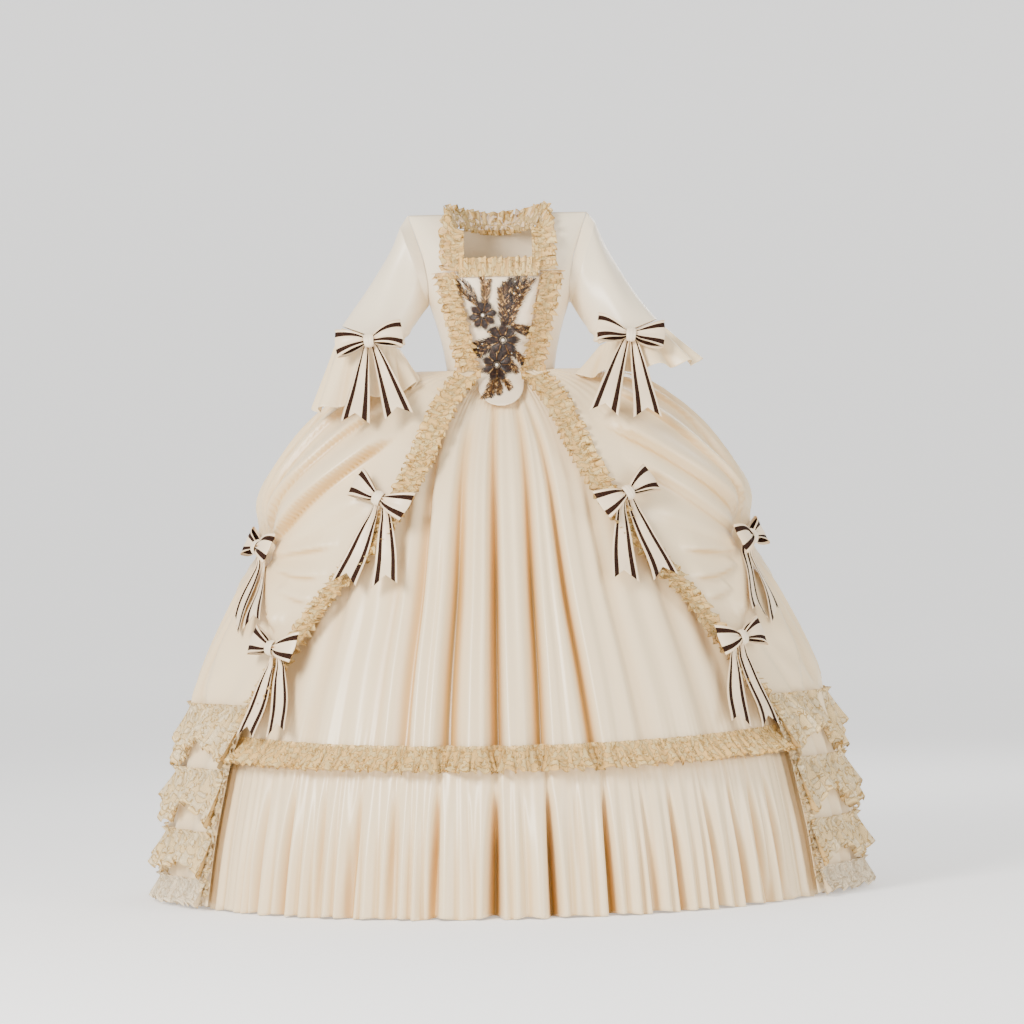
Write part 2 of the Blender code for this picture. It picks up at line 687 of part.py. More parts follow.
def build_bow(name, side, frame, tip, ribbon, light):
    centre, across, out, upward = frame

    def place(x, y, z):
        return centre + across * x + out * y + upward * z

    def tipped(x, y, z):
        return place(x * math.cos(tip) - z * math.sin(tip), y, x * math.sin(tip) + z * math.cos(tip))

    # The loops: one closed band, pinched at the knot, seen from above as a figure of two lobes.
    front = [(reach, 1) for reach in (-0.85, -0.5, -0.16, 0.16, 0.5, 0.85)]
    path = [(-1.0, 0)] + front + [(1.0, 0)] + [(reach, -1) for reach, _ in front[::-1]]
    rows = []
    for share in (0.5, -0.5):
        row = []
        for reach, layer in path:
            opened = ease((abs(reach) - 0.16) / 0.6)
            y = layer * (LOOP_PINCH + LOOP_PUFF * opened * math.sqrt(1 - reach**2))
            height = blend(KNOT_WIDTH * 0.7, LOOP_END, opened)
            row.append(tipped(LOOP_REACH * reach, y, share * height + LOOP_RISE * abs(reach)))
        rows.append(row)
    cloth_grid(f"{name}_loops", rows[::side], CLOTH, ribbon, closed=True)
    # The knot: a short band round the pinched middle.
    rows = []
    for share in (-0.5, 0.5):
        row = []
        for step in range(8):
            angle = math.radians(360 * step / 8)
            row.append(tipped(share * KNOT_WIDTH, 0.0098 * math.cos(angle), 0.0152 * math.sin(angle)))
        rows.append(row)
    cloth_grid(f"{name}_knot", rows[::side], CLOTH, light, closed=True)
    build_tails(f"{name}_tails", place, TAIL_SINK if tip else 0.0, ribbon, side)


def build_tails(name, place, sink, ribbon, side):
    """Two notched ribbon ends, joined under the knot, parting below it and sinking behind the loops."""
    points, faces = [], []
    for row, share in enumerate((0.0, 0.12, 0.35, 0.65, 1.0)):
        width = blend(KNOT_WIDTH * 0.5, RIBBON_WIDTH, ease(share * 3.0))
        for tail in (-1, 1):
            for column in (-1, 0, 1):
                length = TAIL_LENGTH * share * (1.0 if column else blend(1.0, 0.86, share))
                inner_edge = TAILS_APART / 2 + length * math.sin(TAIL_SPREAD)
                half = width / 2 * math.cos(TAIL_TILT)
                x = tail * (inner_edge + half) + column * half
                z = -length + tail * column * width / 2 * math.sin(TAIL_TILT)
                y = -TAIL_BEHIND - sink * ease(share * 5.0) + 0.004 * share * (column == 0)
                points.append(place(x, y, z - 0.002))
        if row:
            above, here = 6 * (row - 1), 6 * row
            joined = (0, 1, 2, 3, 4) if row == 1 else (0, 1, 3, 4)
            quads = [(above + c, here + c, here + c + 1, above + c + 1) for c in joined]
            faces += quads if side > 0 else [quad[::-1] for quad in quads]
    cloth_wall(name, np.array(points), faces, CLOTH, ribbon)


def build():
    clear_scene()
    satin = material("ivory_satin", IVORY, 0.38)
    light_satin = material("light_satin", IVORY_LIGHT, 0.40)
    lace = material("gold_lace", LACE_GOLD, 0.75)
    beads = material("brown_beads", BEAD_BROWN, 0.35, 0.3)
    ribbon = material("striped_ribbon", IVORY_LIGHT, 0.42)
    build_bodice(satin)
    build_stomacher(light_satin, beads)
    build_sleeves(satin)
    build_petticoat(satin, lace)
    build_overskirt(satin, lace)
    build_watteau(satin)
    build_lace_ruffles(lace)
    for side_name, side in SIDES.items():
        build_bow(f"bow_sleeve_{side_name}", side, sleeve_bow_frame(side), 0.0, ribbon, light_satin)
        for bow in SKIRT_BOWS:
            frame, tip = skirt_bow_frame(side, bow), math.radians(bow[BOW_TIP])
            build_bow(f"bow_{bow[BOW_NAME]}_{side_name}", side, frame, tip, ribbon, light_satin)


build()
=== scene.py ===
"""Robe a la francaise: the finish of every cloth, lace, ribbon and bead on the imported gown.

Heights in the tables are above the hem plane, as in the gown's own pattern; TO_FRAME moves them into the
row's frame. Turn is the angle round the skirt in degrees: 0 at the front, 90 at the side, 180 at the back.
Drop is the way down from the waist. Every piece is laid on the form of the CAD node that it replaces.
"""

import math

import bpy
import numpy as np
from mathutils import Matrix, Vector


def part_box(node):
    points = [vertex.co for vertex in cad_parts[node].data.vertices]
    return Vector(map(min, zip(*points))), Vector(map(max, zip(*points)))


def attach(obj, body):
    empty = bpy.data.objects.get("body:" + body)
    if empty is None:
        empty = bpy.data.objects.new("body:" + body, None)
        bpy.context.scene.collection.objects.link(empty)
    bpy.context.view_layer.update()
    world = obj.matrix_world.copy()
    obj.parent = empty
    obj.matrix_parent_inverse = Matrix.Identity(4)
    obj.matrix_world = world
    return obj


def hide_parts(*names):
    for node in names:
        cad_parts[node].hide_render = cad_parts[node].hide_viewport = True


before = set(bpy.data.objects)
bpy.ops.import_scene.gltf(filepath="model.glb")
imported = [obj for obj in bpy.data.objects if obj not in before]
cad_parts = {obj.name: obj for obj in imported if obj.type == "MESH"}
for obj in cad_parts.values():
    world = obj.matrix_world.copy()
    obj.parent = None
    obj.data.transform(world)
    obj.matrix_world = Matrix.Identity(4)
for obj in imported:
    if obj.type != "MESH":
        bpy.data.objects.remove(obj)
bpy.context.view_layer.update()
HEM_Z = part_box("petticoat_flounce_front")[0][2] - 0.001
WAIST_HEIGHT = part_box("petticoat_front")[1][2] - HEM_Z + 0.003
TO_FRAME = np.array([0.0, 0.0, HEM_Z])
FLOUNCE_TOP = 0.285
# How far down the gathers of a waist seam run before they fade, and their height in the overskirt.
WAIST_FADE, OVERSKIRT_GATHERS = 0.05, 0.0045
SIDES = {"left": -1, "right": 1}
# How thick the folded edge of each cloth looks.
HEM_RIM, STOMACHER_RIM, RIBBON_RIM = 0.0012, 0.0016, 0.0009

# The petticoat's bell: drop, how much the side stands above the front, half width and depths.
DROP, SIDE_LIFT, HALF_WIDTH, FRONT_DEPTH, BACK_DEPTH = range(5)
PETTICOAT_FORM = (
    (0.000, 0.000, 0.104, 0.076, 0.074),
    (0.030, 0.022, 0.165, 0.105, 0.112),
    (0.070, 0.044, 0.235, 0.148, 0.165),
    (0.130, 0.052, 0.315, 0.205, 0.235),
    (0.220, 0.044, 0.385, 0.275, 0.315),
    (0.330, 0.028, 0.430, 0.335, 0.375),
    (0.450, 0.014, 0.475, 0.395, 0.430),
    (0.600, 0.000, 0.545, 0.460, 0.490),
    (0.750, 0.000, 0.600, 0.515, 0.540),
    (0.900, 0.000, 0.635, 0.570, 0.585),
    (1.055, 0.000, 0.660, 0.610, 0.620),
)

# The overskirt: how far it stands off the petticoat at its front edge and at the side, and how far above.
EDGE_OFF, SIDE_OFF, RAISED = 1, 2, 3
OVERSKIRT_OFF = (
    (0.000, 0.008, 0.008, 0.003),
    (0.030, 0.012, 0.014, 0.011),
    (0.070, 0.016, 0.022, 0.016),
    (0.130, 0.020, 0.032, 0.014),
    (0.200, 0.022, 0.054, 0.008),
    (0.270, 0.022, 0.066, 0.003),
    (0.350, 0.020, 0.044, 0.000),
    (0.400, 0.018, 0.050, 0.000),
    (0.470, 0.018, 0.062, 0.000),
    (0.600, 0.018, 0.074, 0.000),
    (0.750, 0.018, 0.060, 0.000),
    (0.900, 0.018, 0.056, 0.000),
    (1.055, 0.018, 0.056, 0.000),
)
EDGE_TURN = 1
OVERSKIRT_EDGE = (
    (0.000, 22.0),
    (0.070, 22.0),
    (0.180, 23.0),
    (0.270, 27.5),
    (0.400, 39.0),
    (0.480, 46.5),
    (0.550, 50.5),
    (0.620, 55.0),
    (0.700, 60.0),
    (0.850, 61.5),
    (1.055, 62.0),
)
OVERSKIRT_DROPS = (0.004, 1.050)
OVERSKIRT_BACK_TURN, TIER_BACK_TURN = 164.0, 150.0

# The bodice on a general figure: ring sizes, the front opening and the armhole, by height.
HEIGHT, BODY_WIDTH, BODY_FRONT, BODY_BACK, OPENING, ARMHOLE = range(6)
BODICE_FORM = (
    (1.055, 0.1090, 0.082, 0.078, 0.050, 0.1090),
    (1.110, 0.1180, 0.097, 0.086, 0.058, 0.1180),
    (1.160, 0.1310, 0.113, 0.094, 0.066, 0.1310),
    (1.195, 0.1420, 0.120, 0.099, 0.073, 0.1415),
    (1.240, 0.1560, 0.117, 0.103, 0.081, 0.1440),
    (1.290, 0.1690, 0.098, 0.099, 0.086, 0.1530),
    (1.335, 0.1800, 0.066, 0.080, 0.090, 0.1670),
    (1.370, 0.1880, 0.028, 0.042, 0.095, 0.1790),
    (1.385, 0.1910, 0.004, 0.004, 0.098, 0.1830),
)
RING_POWER = 2.4
UNDERARM_HEIGHT = 1.195
NECK_BACK_HEIGHT = 1.352
# The bodice's lower edge, the shoulders, and the top of the stomacher with the neck's lower edge.
BODICE_BOTTOM, SHOULDER_HEIGHT, NECK_HEIGHT = 1.056, 1.379, 1.250

# Rolls draped into a cloth: where each starts, bends and ends as (turn, drop), how far it stands out, how
# far its broad side reaches, and its steep side as a share of that. The steep side is the lower one, or,
# where the share is negative, the one further round the skirt.
START, BEND, END, RISE, REACH, STEEP = range(6)
# Metres round the skirt for each degree of turn, the rise at which the painted shade under a roll's crook is
# darkest, and the width of the narrow painted crease line there.
TURN_TO_ARC = 0.70 / 90
FULL_ROLL, CREASE_WIDTH = 0.022, 0.0042


# ---------------------------------------------------------------- shapes


def read(table, key, at):
    """The table's column at these values of its first column, on a smooth curve through the rows."""
    first = np.array([row[0] for row in table])
    values = np.array([row[key] for row in table])
    slopes = np.gradient(values, first)
    at = np.clip(np.asarray(at, float), first[0], first[-1])
    low = np.clip(np.searchsorted(first, at, side="right") - 1, 0, len(first) - 2)
    step = first[low + 1] - first[low]
    u = (at - first[low]) / step
    start = (2 * u**3 - 3 * u**2 + 1) * values[low] + (u**3 - 2 * u**2 + u) * step * slopes[low]
    end = (3 * u**2 - 2 * u**3) * values[low + 1] + (u**3 - u**2) * step * slopes[low + 1]
    return start + end


def ease(share):
    """0 at 0 and 1 at 1, level at both ends."""
    share = np.clip(share, 0.0, 1.0)
    return share * share * (3 - 2 * share)


def blend(start, end, share):
    return start + (end - start) * share


def spread(first, last, columns, rows):
    """A grid of turns or widths that runs across, the same in each row."""
    return np.repeat(np.linspace(first, last, columns)[None, :], rows, axis=0)


def fall(first, last, columns, rows):
    """A grid of drops or shares that runs down, the same in each column."""
    return np.repeat(np.linspace(first, last, rows)[:, None], columns, axis=1)


def circle(columns, rows):
    """A grid of angles once round a tube, whose last column stops short of the first."""
    return spread(0, 2 * np.pi * (columns - 1) / columns, columns, rows)


def form_points(turn, drop, off=0.0):
    """Points on the petticoat's bell, moved out by off, as height above the hem plane."""
    angle = np.radians(turn)
    sine, cosine = np.sin(angle), np.cos(angle)
    front, back = read(PETTICOAT_FORM, FRONT_DEPTH, drop), read(PETTICOAT_FORM, BACK_DEPTH, drop)
    depth = np.where(cosine > 0, front, back)
    width = read(PETTICOAT_FORM, HALF_WIDTH, drop)
    height = WAIST_HEIGHT - drop + read(PETTICOAT_FORM, SIDE_LIFT, drop) * sine**2
    return np.stack([(width + off) * sine, -(depth + off) * cosine, height], axis=-1)


def overskirt_points(side, turn, drop, off=0.0):
    """Points on the overskirt of this side, which stands off the petticoat, moved out by off."""
    edge = read(OVERSKIRT_EDGE, EDGE_TURN, drop)
    share = ease((turn - edge) / (90.0 - edge))
    stand = blend(read(OVERSKIRT_OFF, EDGE_OFF, drop), read(OVERSKIRT_OFF, SIDE_OFF, drop), share)
    points = form_points(turn, drop, stand + off)
    points[..., 0] *= side
    points[..., 2] += read(OVERSKIRT_OFF, RAISED, drop)
    return points


def body_y(x, height, key):
    """How far the figure reaches forwards or back at these places."""
    share = np.minimum(np.abs(x) / read(BODICE_FORM, BODY_WIDTH, height), 1.0)
    return read(BODICE_FORM, key, height) * (1 - share**RING_POWER) ** (1 / RING_POWER)


def body_front(x, height, off=0.0):
    """Points on the figure's front, moved forwards by off."""
    return np.stack([x, -body_y(x, height, BODY_FRONT) - off, height + 0 * x], axis=-1)


def body_back(x, height, off=0.0):
    """Points on the figure's back, moved back by off."""
    return np.stack([x, body_y(x, height, BODY_BACK) + off, height + 0 * x], axis=-1)


def soft_noise(seed, shape, cells):
    """Smooth noise from -1 to 1 over a grid, with this many cells down and across."""
    source = np.random.default_rng(seed).uniform(-1, 1, (cells[0] + 3, cells[1] + 3))
    rows, columns = np.linspace(0, cells[0], shape[0]), np.linspace(0, cells[1], shape[1])
    r, c = rows.astype(int), columns.astype(int)
    fr, fc = ease(rows - r)[:, None], ease(columns - c)[None, :]
    top = source[np.ix_(r, c)] * (1 - fc) + source[np.ix_(r, c + 1)] * fc
    low = source[np.ix_(r + 1, c)] * (1 - fc) + source[np.ix_(r + 1, c + 1)] * fc
    return top * (1 - fr) + low * fr


def gather_wave(seed, along, length, spacing):
    """Uneven gathers from -1 to 1 along a seam of this length, with this mean spacing."""
    rng = np.random.default_rng(seed)
    count = max(int(round(length / spacing)), 2)
    widths = rng.uniform(0.6, 1.5, count)
    ends = np.concatenate([[0], np.cumsum(widths)]) / widths.sum()
    heights = rng.uniform(0.55, 1.0, count + 1)
    phase = np.interp(along, ends, np.arange(count + 1))
    return np.cos(2 * np.pi * phase) * np.interp(phase, np.arange(count + 1), heights)


def roll_field(rolls, turn, drop):
    """How far these rolls move the cloth out at each place, and how deep in the crook under one it lies."""
    total, fold = np.zeros_like(turn), np.zeros_like(turn)
    for roll in rolls:
        start, bend, end = (np.array([point[0] * TURN_TO_ARC, point[1]]) for point in roll[START : END + 1])
        best = np.full(turn.shape, 1e9)
        share, aside = np.zeros_like(turn), np.zeros_like(turn)
        for step in np.linspace(0, 1, 33):
            middle = (1 - step) ** 2 * start + 2 * step * (1 - step) * bend + step**2 * end
            way = 2 * (1 - step) * (bend - start) + 2 * step * (end - bend)
            way = way / np.linalg.norm(way)
            gap_x, gap_y = turn * TURN_TO_ARC - middle[0], drop - middle[1]
            far = np.hypot(gap_x, gap_y)
            nearer = far < best
            best = np.where(nearer, far, best)
            share = np.where(nearer, step, share)
            aside = np.where(nearer, gap_x * way[1] - gap_y * way[0], aside)
        if roll[STEEP] < 0:
            aside = -aside
        beyond = np.sqrt(np.clip(best**2 - aside**2, 0, None))
        steep = roll[REACH] * abs(roll[STEEP])
        shape = np.where(aside > 0, np.exp(-((aside / roll[REACH]) ** 2)), np.exp(-((aside / steep) ** 2)))
        strength = ease(share / 0.3 + 0.05) * ease((1 - share) / 0.25 + 0.3)
        strength *= np.exp(-((beyond / roll[REACH]) ** 2))
        total += roll[RISE] * shape * strength
        # Painted shade in the crook at the foot of the steep side, with a narrow darker crease line in it.
        depth = strength * min(roll[RISE] / FULL_ROLL, 1.0) * (1 - abs(roll[STEEP]))
        crook = np.exp(-(((aside + 1.1 * steep) / (0.9 * steep + 0.004)) ** 2))
        crease = np.exp(-(((aside + 1.35 * steep) / CREASE_WIDTH) ** 2))
        fold = np.maximum(fold, np.maximum(0.80 * crook, 1.25 * crease) * depth)
    return total, fold


# ---------------------------------------------------------------- meshes


def quads_of(index):
    """The four-cornered faces of a grid of point numbers."""
    return np.stack([index[:-1, :-1], index[1:, :-1], index[1:, 1:], index[:-1, 1:]], axis=-1).reshape(-1, 4)


def cloth(name, points, look, uv=None, fold=None, closed=False, rim=0.0, shade=None):
    """A thin shell through a grid of points. Closed joins its two ends, and rim folds its edges in."""
    rows, columns = points.shape[:2]
    index = np.arange(rows * columns).reshape(rows, columns)
    if closed:
        index = np.hstack([index, index[:, :1]])
    return shell(name, points.reshape(-1, 3), quads_of(index), look, uv, fold, rim, shade)


def shell(name, points, faces, look, uv=None, fold=None, rim=0.0, shade=None):
    """A smooth mesh of points given as heights above the hem plane, moved into the row's frame."""
    mesh = bpy.data.meshes.new(name)
    mesh.from_pydata((points + TO_FRAME).tolist(), [], faces.tolist() if hasattr(faces, "tolist") else faces)
    corners = np.empty(len(mesh.loops), np.int32)
    mesh.loops.foreach_get("vertex_index", corners)
    if uv is not None:
        layer = mesh.uv_layers.new(name="UVMap")
        layer.data.foreach_set("uv", uv.reshape(-1, 2)[corners].astype(np.float32).ravel())
    for key, values in (("fold", fold), ("shade", shade)):
        if values is not None:
            attribute = mesh.attributes.new(key, "FLOAT", "POINT")
            attribute.data.foreach_set("value", np.asarray(values, np.float32).ravel())
    mesh.shade_smooth()
    obj = bpy.data.objects.new(name, mesh)
    bpy.context.scene.collection.objects.link(obj)
    obj.data.materials.append(look)
    if rim:
        edge = obj.modifiers.new("edge", "SOLIDIFY")
        edge.thickness = rim
        edge.use_rim_only = True
    return obj


def settle(piece, nodes):
    """Hangs a sheet on the root body and hides the nodes that it stands for."""
    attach(piece, "root")
    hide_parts(*nodes)
    return piece


def flat_uv(points):
    """Coordinates in metres across and down a grid, measured along its middle row and column."""
    middle_row, middle_column = points[points.shape[0] // 2], points[:, points.shape[1] // 2]
    across = np.concatenate([[0], np.cumsum(np.linalg.norm(np.diff(middle_row, axis=0), axis=1))])
    down = np.concatenate([[0], np.cumsum(np.linalg.norm(np.diff(middle_column, axis=0), axis=1))])
    return np.stack(np.meshgrid(across, down), axis=-1)


# ---------------------------------------------------------------- materials


class Nodes:
    """A small hand for wiring a material: each call adds a node and returns its first output."""

    def __init__(self, name):
        self.material = bpy.data.materials.new(name)
        self.material.use_nodes = True
        self.tree = self.material.node_tree
        self.shader = self.tree.nodes["Principled BSDF"]

    def add(self, kind, settings=None, output=0, **inputs):
        node = self.tree.nodes.new(kind)
        for key, value in (settings or {}).items():
            setattr(node, key, value)
        for key, value in inputs.items():
            socket = node.inputs[int(key[1:])] if key[0] == "i" and key[1:].isdigit() else node.inputs[key]
            if isinstance(value, bpy.types.NodeSocket):
                self.tree.links.new(value, socket)
            else:
                socket.default_value = value
        return node.outputs[output]

    def math(self, operation, first, second=0.0, third=0.0):
        return self.add("ShaderNodeMath", {"operation": operation}, i0=first, i1=second, i2=third)

    def mix(self, share, first, second):
        node = self.tree.nodes.new("ShaderNodeMix")
        node.data_type = "RGBA"
        for socket, value in ((node.inputs[0], share), (node.inputs[6], first), (node.inputs[7], second)):
            if isinstance(value, bpy.types.NodeSocket):
                self.tree.links.new(value, socket)
            else:
                socket.default_value = value
        return node.outputs[2]

    def smooth(self, value, low, high):
        """0 below low and 1 above high, eased between them."""
        eased = {"interpolation_type": "SMOOTHSTEP"}
        return self.add("ShaderNodeMapRange", eased, i0=value, i1=low, i2=high, i3=0.0, i4=1.0)

    def set(self, **inputs):
        for key, value in inputs.items():
            socket = self.shader.inputs[key.replace("_", " ")]
            if isinstance(value, bpy.types.NodeSocket):
                self.tree.links.new(value, socket)
            else:
                socket.default_value = value


def satin(name, colour, deep, roughness=0.32):
    """Polyester satin: a broad soft gloss, a faint fine weave, and a warmer painted shade down in the folds.
    """
    n = Nodes(name)
    place = n.add("ShaderNodeTexCoord", output=3)
    fold = n.add("ShaderNodeAttribute", {"attribute_name": "fold"}, output=2)
    cloud = n.add("ShaderNodeTexNoise", Vector=place, Scale=5.0, Detail=2.0, Roughness=0.5)
    # Painted shade: the fold attribute mixes in the deep colour down in the folds, and a darker one still in
    # the deepest creases.
    fold_shade_share = n.smooth(fold, 0.05, 0.95)
    tone = n.mix(cloud, (*colour, 1), (*[c * 0.955 for c in colour], 1))
    folded = n.mix(fold_shade_share, tone, (*deep, 1))
    n.set(Base_Color=n.mix(n.smooth(fold, 0.82, 1.0), folded, (*[c * 0.60 for c in deep], 1)))
    weave = n.add("ShaderNodeTexNoise", Vector=place, Scale=900.0, Detail=1.0)
    wrinkle = n.add("ShaderNodeTexNoise", Vector=place, Scale=22.0, Detail=3.0, Roughness=0.55)
    rough = n.add("ShaderNodeMapRange", i0=cloud, i1=0.3, i2=0.7, i3=roughness - 0.03, i4=roughness + 0.04)
    n.set(Roughness=rough, Sheen_Weight=0.12, Sheen_Roughness=0.4, Specular_IOR_Level=0.55)
    fine = n.add("ShaderNodeBump", Strength=0.06, Distance=0.0004, Height=weave)
    n.set(Normal=n.add("ShaderNodeBump", Strength=0.10, Distance=0.004, Height=wrinkle, Normal=fine))
    return n.material


def ribbon_satin(name):
    """Cream satin ribbon with a dark velvet stripe inset from each edge. Its coordinates run from 0 to 1."""
    n = Nodes(name)
    uv = n.add("ShaderNodeUVMap")
    parts = n.tree.nodes.new("ShaderNodeSeparateXYZ")
    n.tree.links.new(uv, parts.inputs[0])
    from_edge = n.math("SUBTRACT", 0.5, n.math("ABSOLUTE", n.math("SUBTRACT", parts.outputs[1], 0.5)))
    place = n.add("ShaderNodeTexCoord", output=3)
    pile = n.add("ShaderNodeTexNoise", Vector=place, Scale=420.0, Detail=2.0)
    ragged = n.math("MULTIPLY_ADD", pile, 0.012, n.math("ADD", from_edge, -0.006))
    inner = n.math("SUBTRACT", 1.0, n.smooth(ragged, 0.272, 0.282))
    stripe = n.math("MULTIPLY", n.smooth(ragged, 0.092, 0.102), inner)
    velvet = n.mix(n.smooth(pile, 0.35, 0.7), (0.012, 0.004, 0.002, 1), (0.040, 0.014, 0.006, 1))
    cream = n.mix(n.smooth(from_edge, 0.0, 0.06), (0.84, 0.60, 0.34, 1), (0.91, 0.715, 0.475, 1))
    n.set(Base_Color=n.mix(stripe, cream, velvet))
    n.set(Roughness=n.add("ShaderNodeMapRange", i0=stripe, i1=0.0, i2=1.0, i3=0.36, i4=0.90))
    n.set(Specular_IOR_Level=n.add("ShaderNodeMapRange", i0=stripe, i1=0.0, i2=1.0, i3=0.5, i4=0.15))
    height = n.math("MULTIPLY_ADD", pile, 0.3, stripe)
    n.set(Normal=n.add("ShaderNodeBump", Strength=0.35, Distance=0.0006, Height=height))
    return n.material


def lace(name, cord, fill, net, see_through, scale=1.0):
    """Corded lace: a fine open net with filled leaves outlined in gold cord. Coordinates are in metres."""
    n = Nodes(name)
    uv = n.add("ShaderNodeUVMap")
    edge = n.add("ShaderNodeAttribute", {"attribute_name": "fold"}, output=2)
    plane = {"noise_dimensions": "2D"}
    leaves = n.add("ShaderNodeTexNoise", plane, Vector=uv, Scale=74.0 * scale, Detail=2.0, Roughness=0.45)
    filled = n.smooth(leaves, 0.50, 0.525)
    from_outline = n.math("ABSOLUTE", n.math("SUBTRACT", leaves, 0.505))
    outline = n.math("SUBTRACT", 1.0, n.smooth(from_outline, 0.012, 0.034))
    veins = n.math("SINE", n.math("MULTIPLY", leaves, 260.0))
    vein = n.math("MULTIPLY", n.smooth(veins, 0.4, 0.9), 0.55)
    outline = n.math("MAXIMUM", outline, n.math("MULTIPLY", filled, vein))
    net_plane = {"voronoi_dimensions": "2D", "feature": "DISTANCE_TO_EDGE"}
    cells = n.add("ShaderNodeTexVoronoi", net_plane, Vector=uv, Scale=420.0)
    threads = n.math("SUBTRACT", 1.0, n.smooth(cells, 0.06, 0.16))
    hem = n.smooth(edge, 0.55, 0.85)
    firm = n.math("MAXIMUM", n.math("MAXIMUM", outline, filled), hem)
    cover = n.math("MAXIMUM", n.math("MULTIPLY", threads, 0.9), 1.0 - see_through)
    n.set(Alpha=n.math("MAXIMUM", firm, cover))
    shade = n.add("ShaderNodeTexNoise", plane, Vector=uv, Scale=260.0, Detail=1.0)
    ground = n.mix(filled, (*net, 1), (*fill, 1))
    gold = n.mix(n.smooth(shade, 0.35, 0.65), (*[c * 0.75 for c in cord], 1), (*cord, 1))
    marked = n.math("MAXIMUM", outline, n.math("MULTIPLY", n.smooth(edge, 0.80, 0.97), 0.55))
    # Painted shade: the shade attribute darkens the lace to a deep gold down in the hollows of its gathers.
    down = n.add("ShaderNodeAttribute", {"attribute_name": "shade"}, output=2)
    pattern = n.mix(marked, ground, gold)
    deep = n.mix(marked, (*[c * 0.62 for c in cord], 1), (*[c * 0.45 for c in cord], 1))
    n.set(Base_Color=n.mix(n.math("MULTIPLY", down, 0.62), pattern, deep))
    n.set(Roughness=0.55, Specular_IOR_Level=0.4)
    relief = n.math("MULTIPLY_ADD", shade, 0.4, n.math("ADD", firm, outline))
    n.set(Normal=n.add("ShaderNodeBump", Strength=0.8, Distance=0.0014, Height=relief))
    return n.material


def beadwork(name, colour, roughness, metallic, glow):
    """Glass beads: a dark body with a bronze lustre that changes from bead to bead."""
    n = Nodes(name)
    place = n.add("ShaderNodeTexCoord", output=3)
    vary = n.add("ShaderNodeTexVoronoi", Vector=place, Scale=260.0, output=1)
    tone = n.add("ShaderNodeSeparateColor", i0=vary)
    n.set(Base_Color=n.mix(n.smooth(tone, 0.45, 0.95), (*colour, 1), (*glow, 1)))
    n.set(Roughness=roughness, Metallic=metallic, Coat_Weight=0.10, Coat_Roughness=0.15)
    return n.material


# The second colour of each satin is the painted shade that it takes on down in its folds.
IVORY, FOLD_SHADE_AMBER = (0.925, 0.735, 0.455), (0.64, 0.355, 0.095)
LOOKS = {
    "satin": satin("ivory_satin_cloth", IVORY, FOLD_SHADE_AMBER),
    "bodice": satin("ivory_satin_bodice", (0.935, 0.800, 0.585), (0.66, 0.43, 0.17)),
    "light": satin("light_satin_cloth", (0.925, 0.755, 0.530), (0.68, 0.46, 0.22), 0.40),
    "ribbon": ribbon_satin("striped_ribbon_cloth"),
    "lace": lace("gold_lace_cloth", (0.44, 0.24, 0.045), (0.96, 0.70, 0.31), (0.87, 0.55, 0.18), 0.34),
    "tier": lace("tier_lace_cloth", (0.50, 0.30, 0.08), (0.98, 0.80, 0.49), (0.93, 0.69, 0.34), 0.42, 0.85),
    "hem": lace("hem_lace_cloth", (0.62, 0.46, 0.25), (0.95, 0.81, 0.58), (0.93, 0.79, 0.56), 0.55),
    "beads": beadwork("dark_beads", (0.012, 0.004, 0.002), 0.42, 0.0, (0.045, 0.017, 0.007)),
    "bugles": beadwork("bronze_bugles", (0.13, 0.060, 0.022), 0.22, 0.60, (0.72, 0.43, 0.16)),
    "pearls": beadwork("pearls", (0.80, 0.74, 0.64), 0.22, 0.0, (0.90, 0.86, 0.78)),
}


# ---------------------------------------------------------------- petticoat

# Its pleats: turn at the waist and at the flounce, depth, half width at the flounce, lean of the steeper side
# and the drop at which it begins.
TOP_TURN, LOW_TURN, DEPTH, WIDTH, LEAN, FROM = range(6)
PETTICOAT_PLEATS = (
    (-53.0, -51.0, 0.008, 0.030, 0.2, 0.34),
    (-44.0, -41.5, 0.010, 0.030, 0.4, 0.28),
    (-36.0, -33.8, 0.006, 0.022, -0.3, 0.40),
    (-29.5, -26.3, 0.014, 0.026, 0.4, 0.16),
    (-22.5, -20.2, 0.030, 0.020, 0.6, 0.09),
    (-17.5, -16.4, 0.007, 0.010, 0.1, 0.30),
    (-13.3, -12.2, 0.042, 0.022, -0.6, 0.04),
    (-9.4, -8.8, 0.004, 0.010, 0.2, 0.02),
    (-6.3, -5.8, 0.006, 0.010, 0.3, 0.00),
    (-2.9, -2.1, 0.052, 0.016, 0.4, 0.00),
    (1.6, 1.9, 0.004, 0.012, 0.0, 0.00),
    (4.6, 3.9, 0.003, 0.010, 0.0, 0.00),
    (8.0, 6.3, 0.044, 0.016, 0.6, 0.00),
    (10.6, 10.9, 0.005, 0.009, 0.1, 0.00),
    (13.2, 16.6, 0.036, 0.013, 0.65, 0.02),
    (19.5, 21.8, 0.006, 0.018, -0.2, 0.12),
    (24.0, 26.8, 0.013, 0.024, -0.5, 0.20),
    (31.5, 34.0, 0.006, 0.026, 0.3, 0.36),
    (39.5, 42.0, 0.010, 0.030, -0.4, 0.26),
    (49.0, 51.0, 0.008, 0.026, 0.2, 0.34),
)
# The widths that the overskirt covers have pleats this many degrees apart, uneven in depth.
HIDDEN_PLEAT_SPACING = 8.0
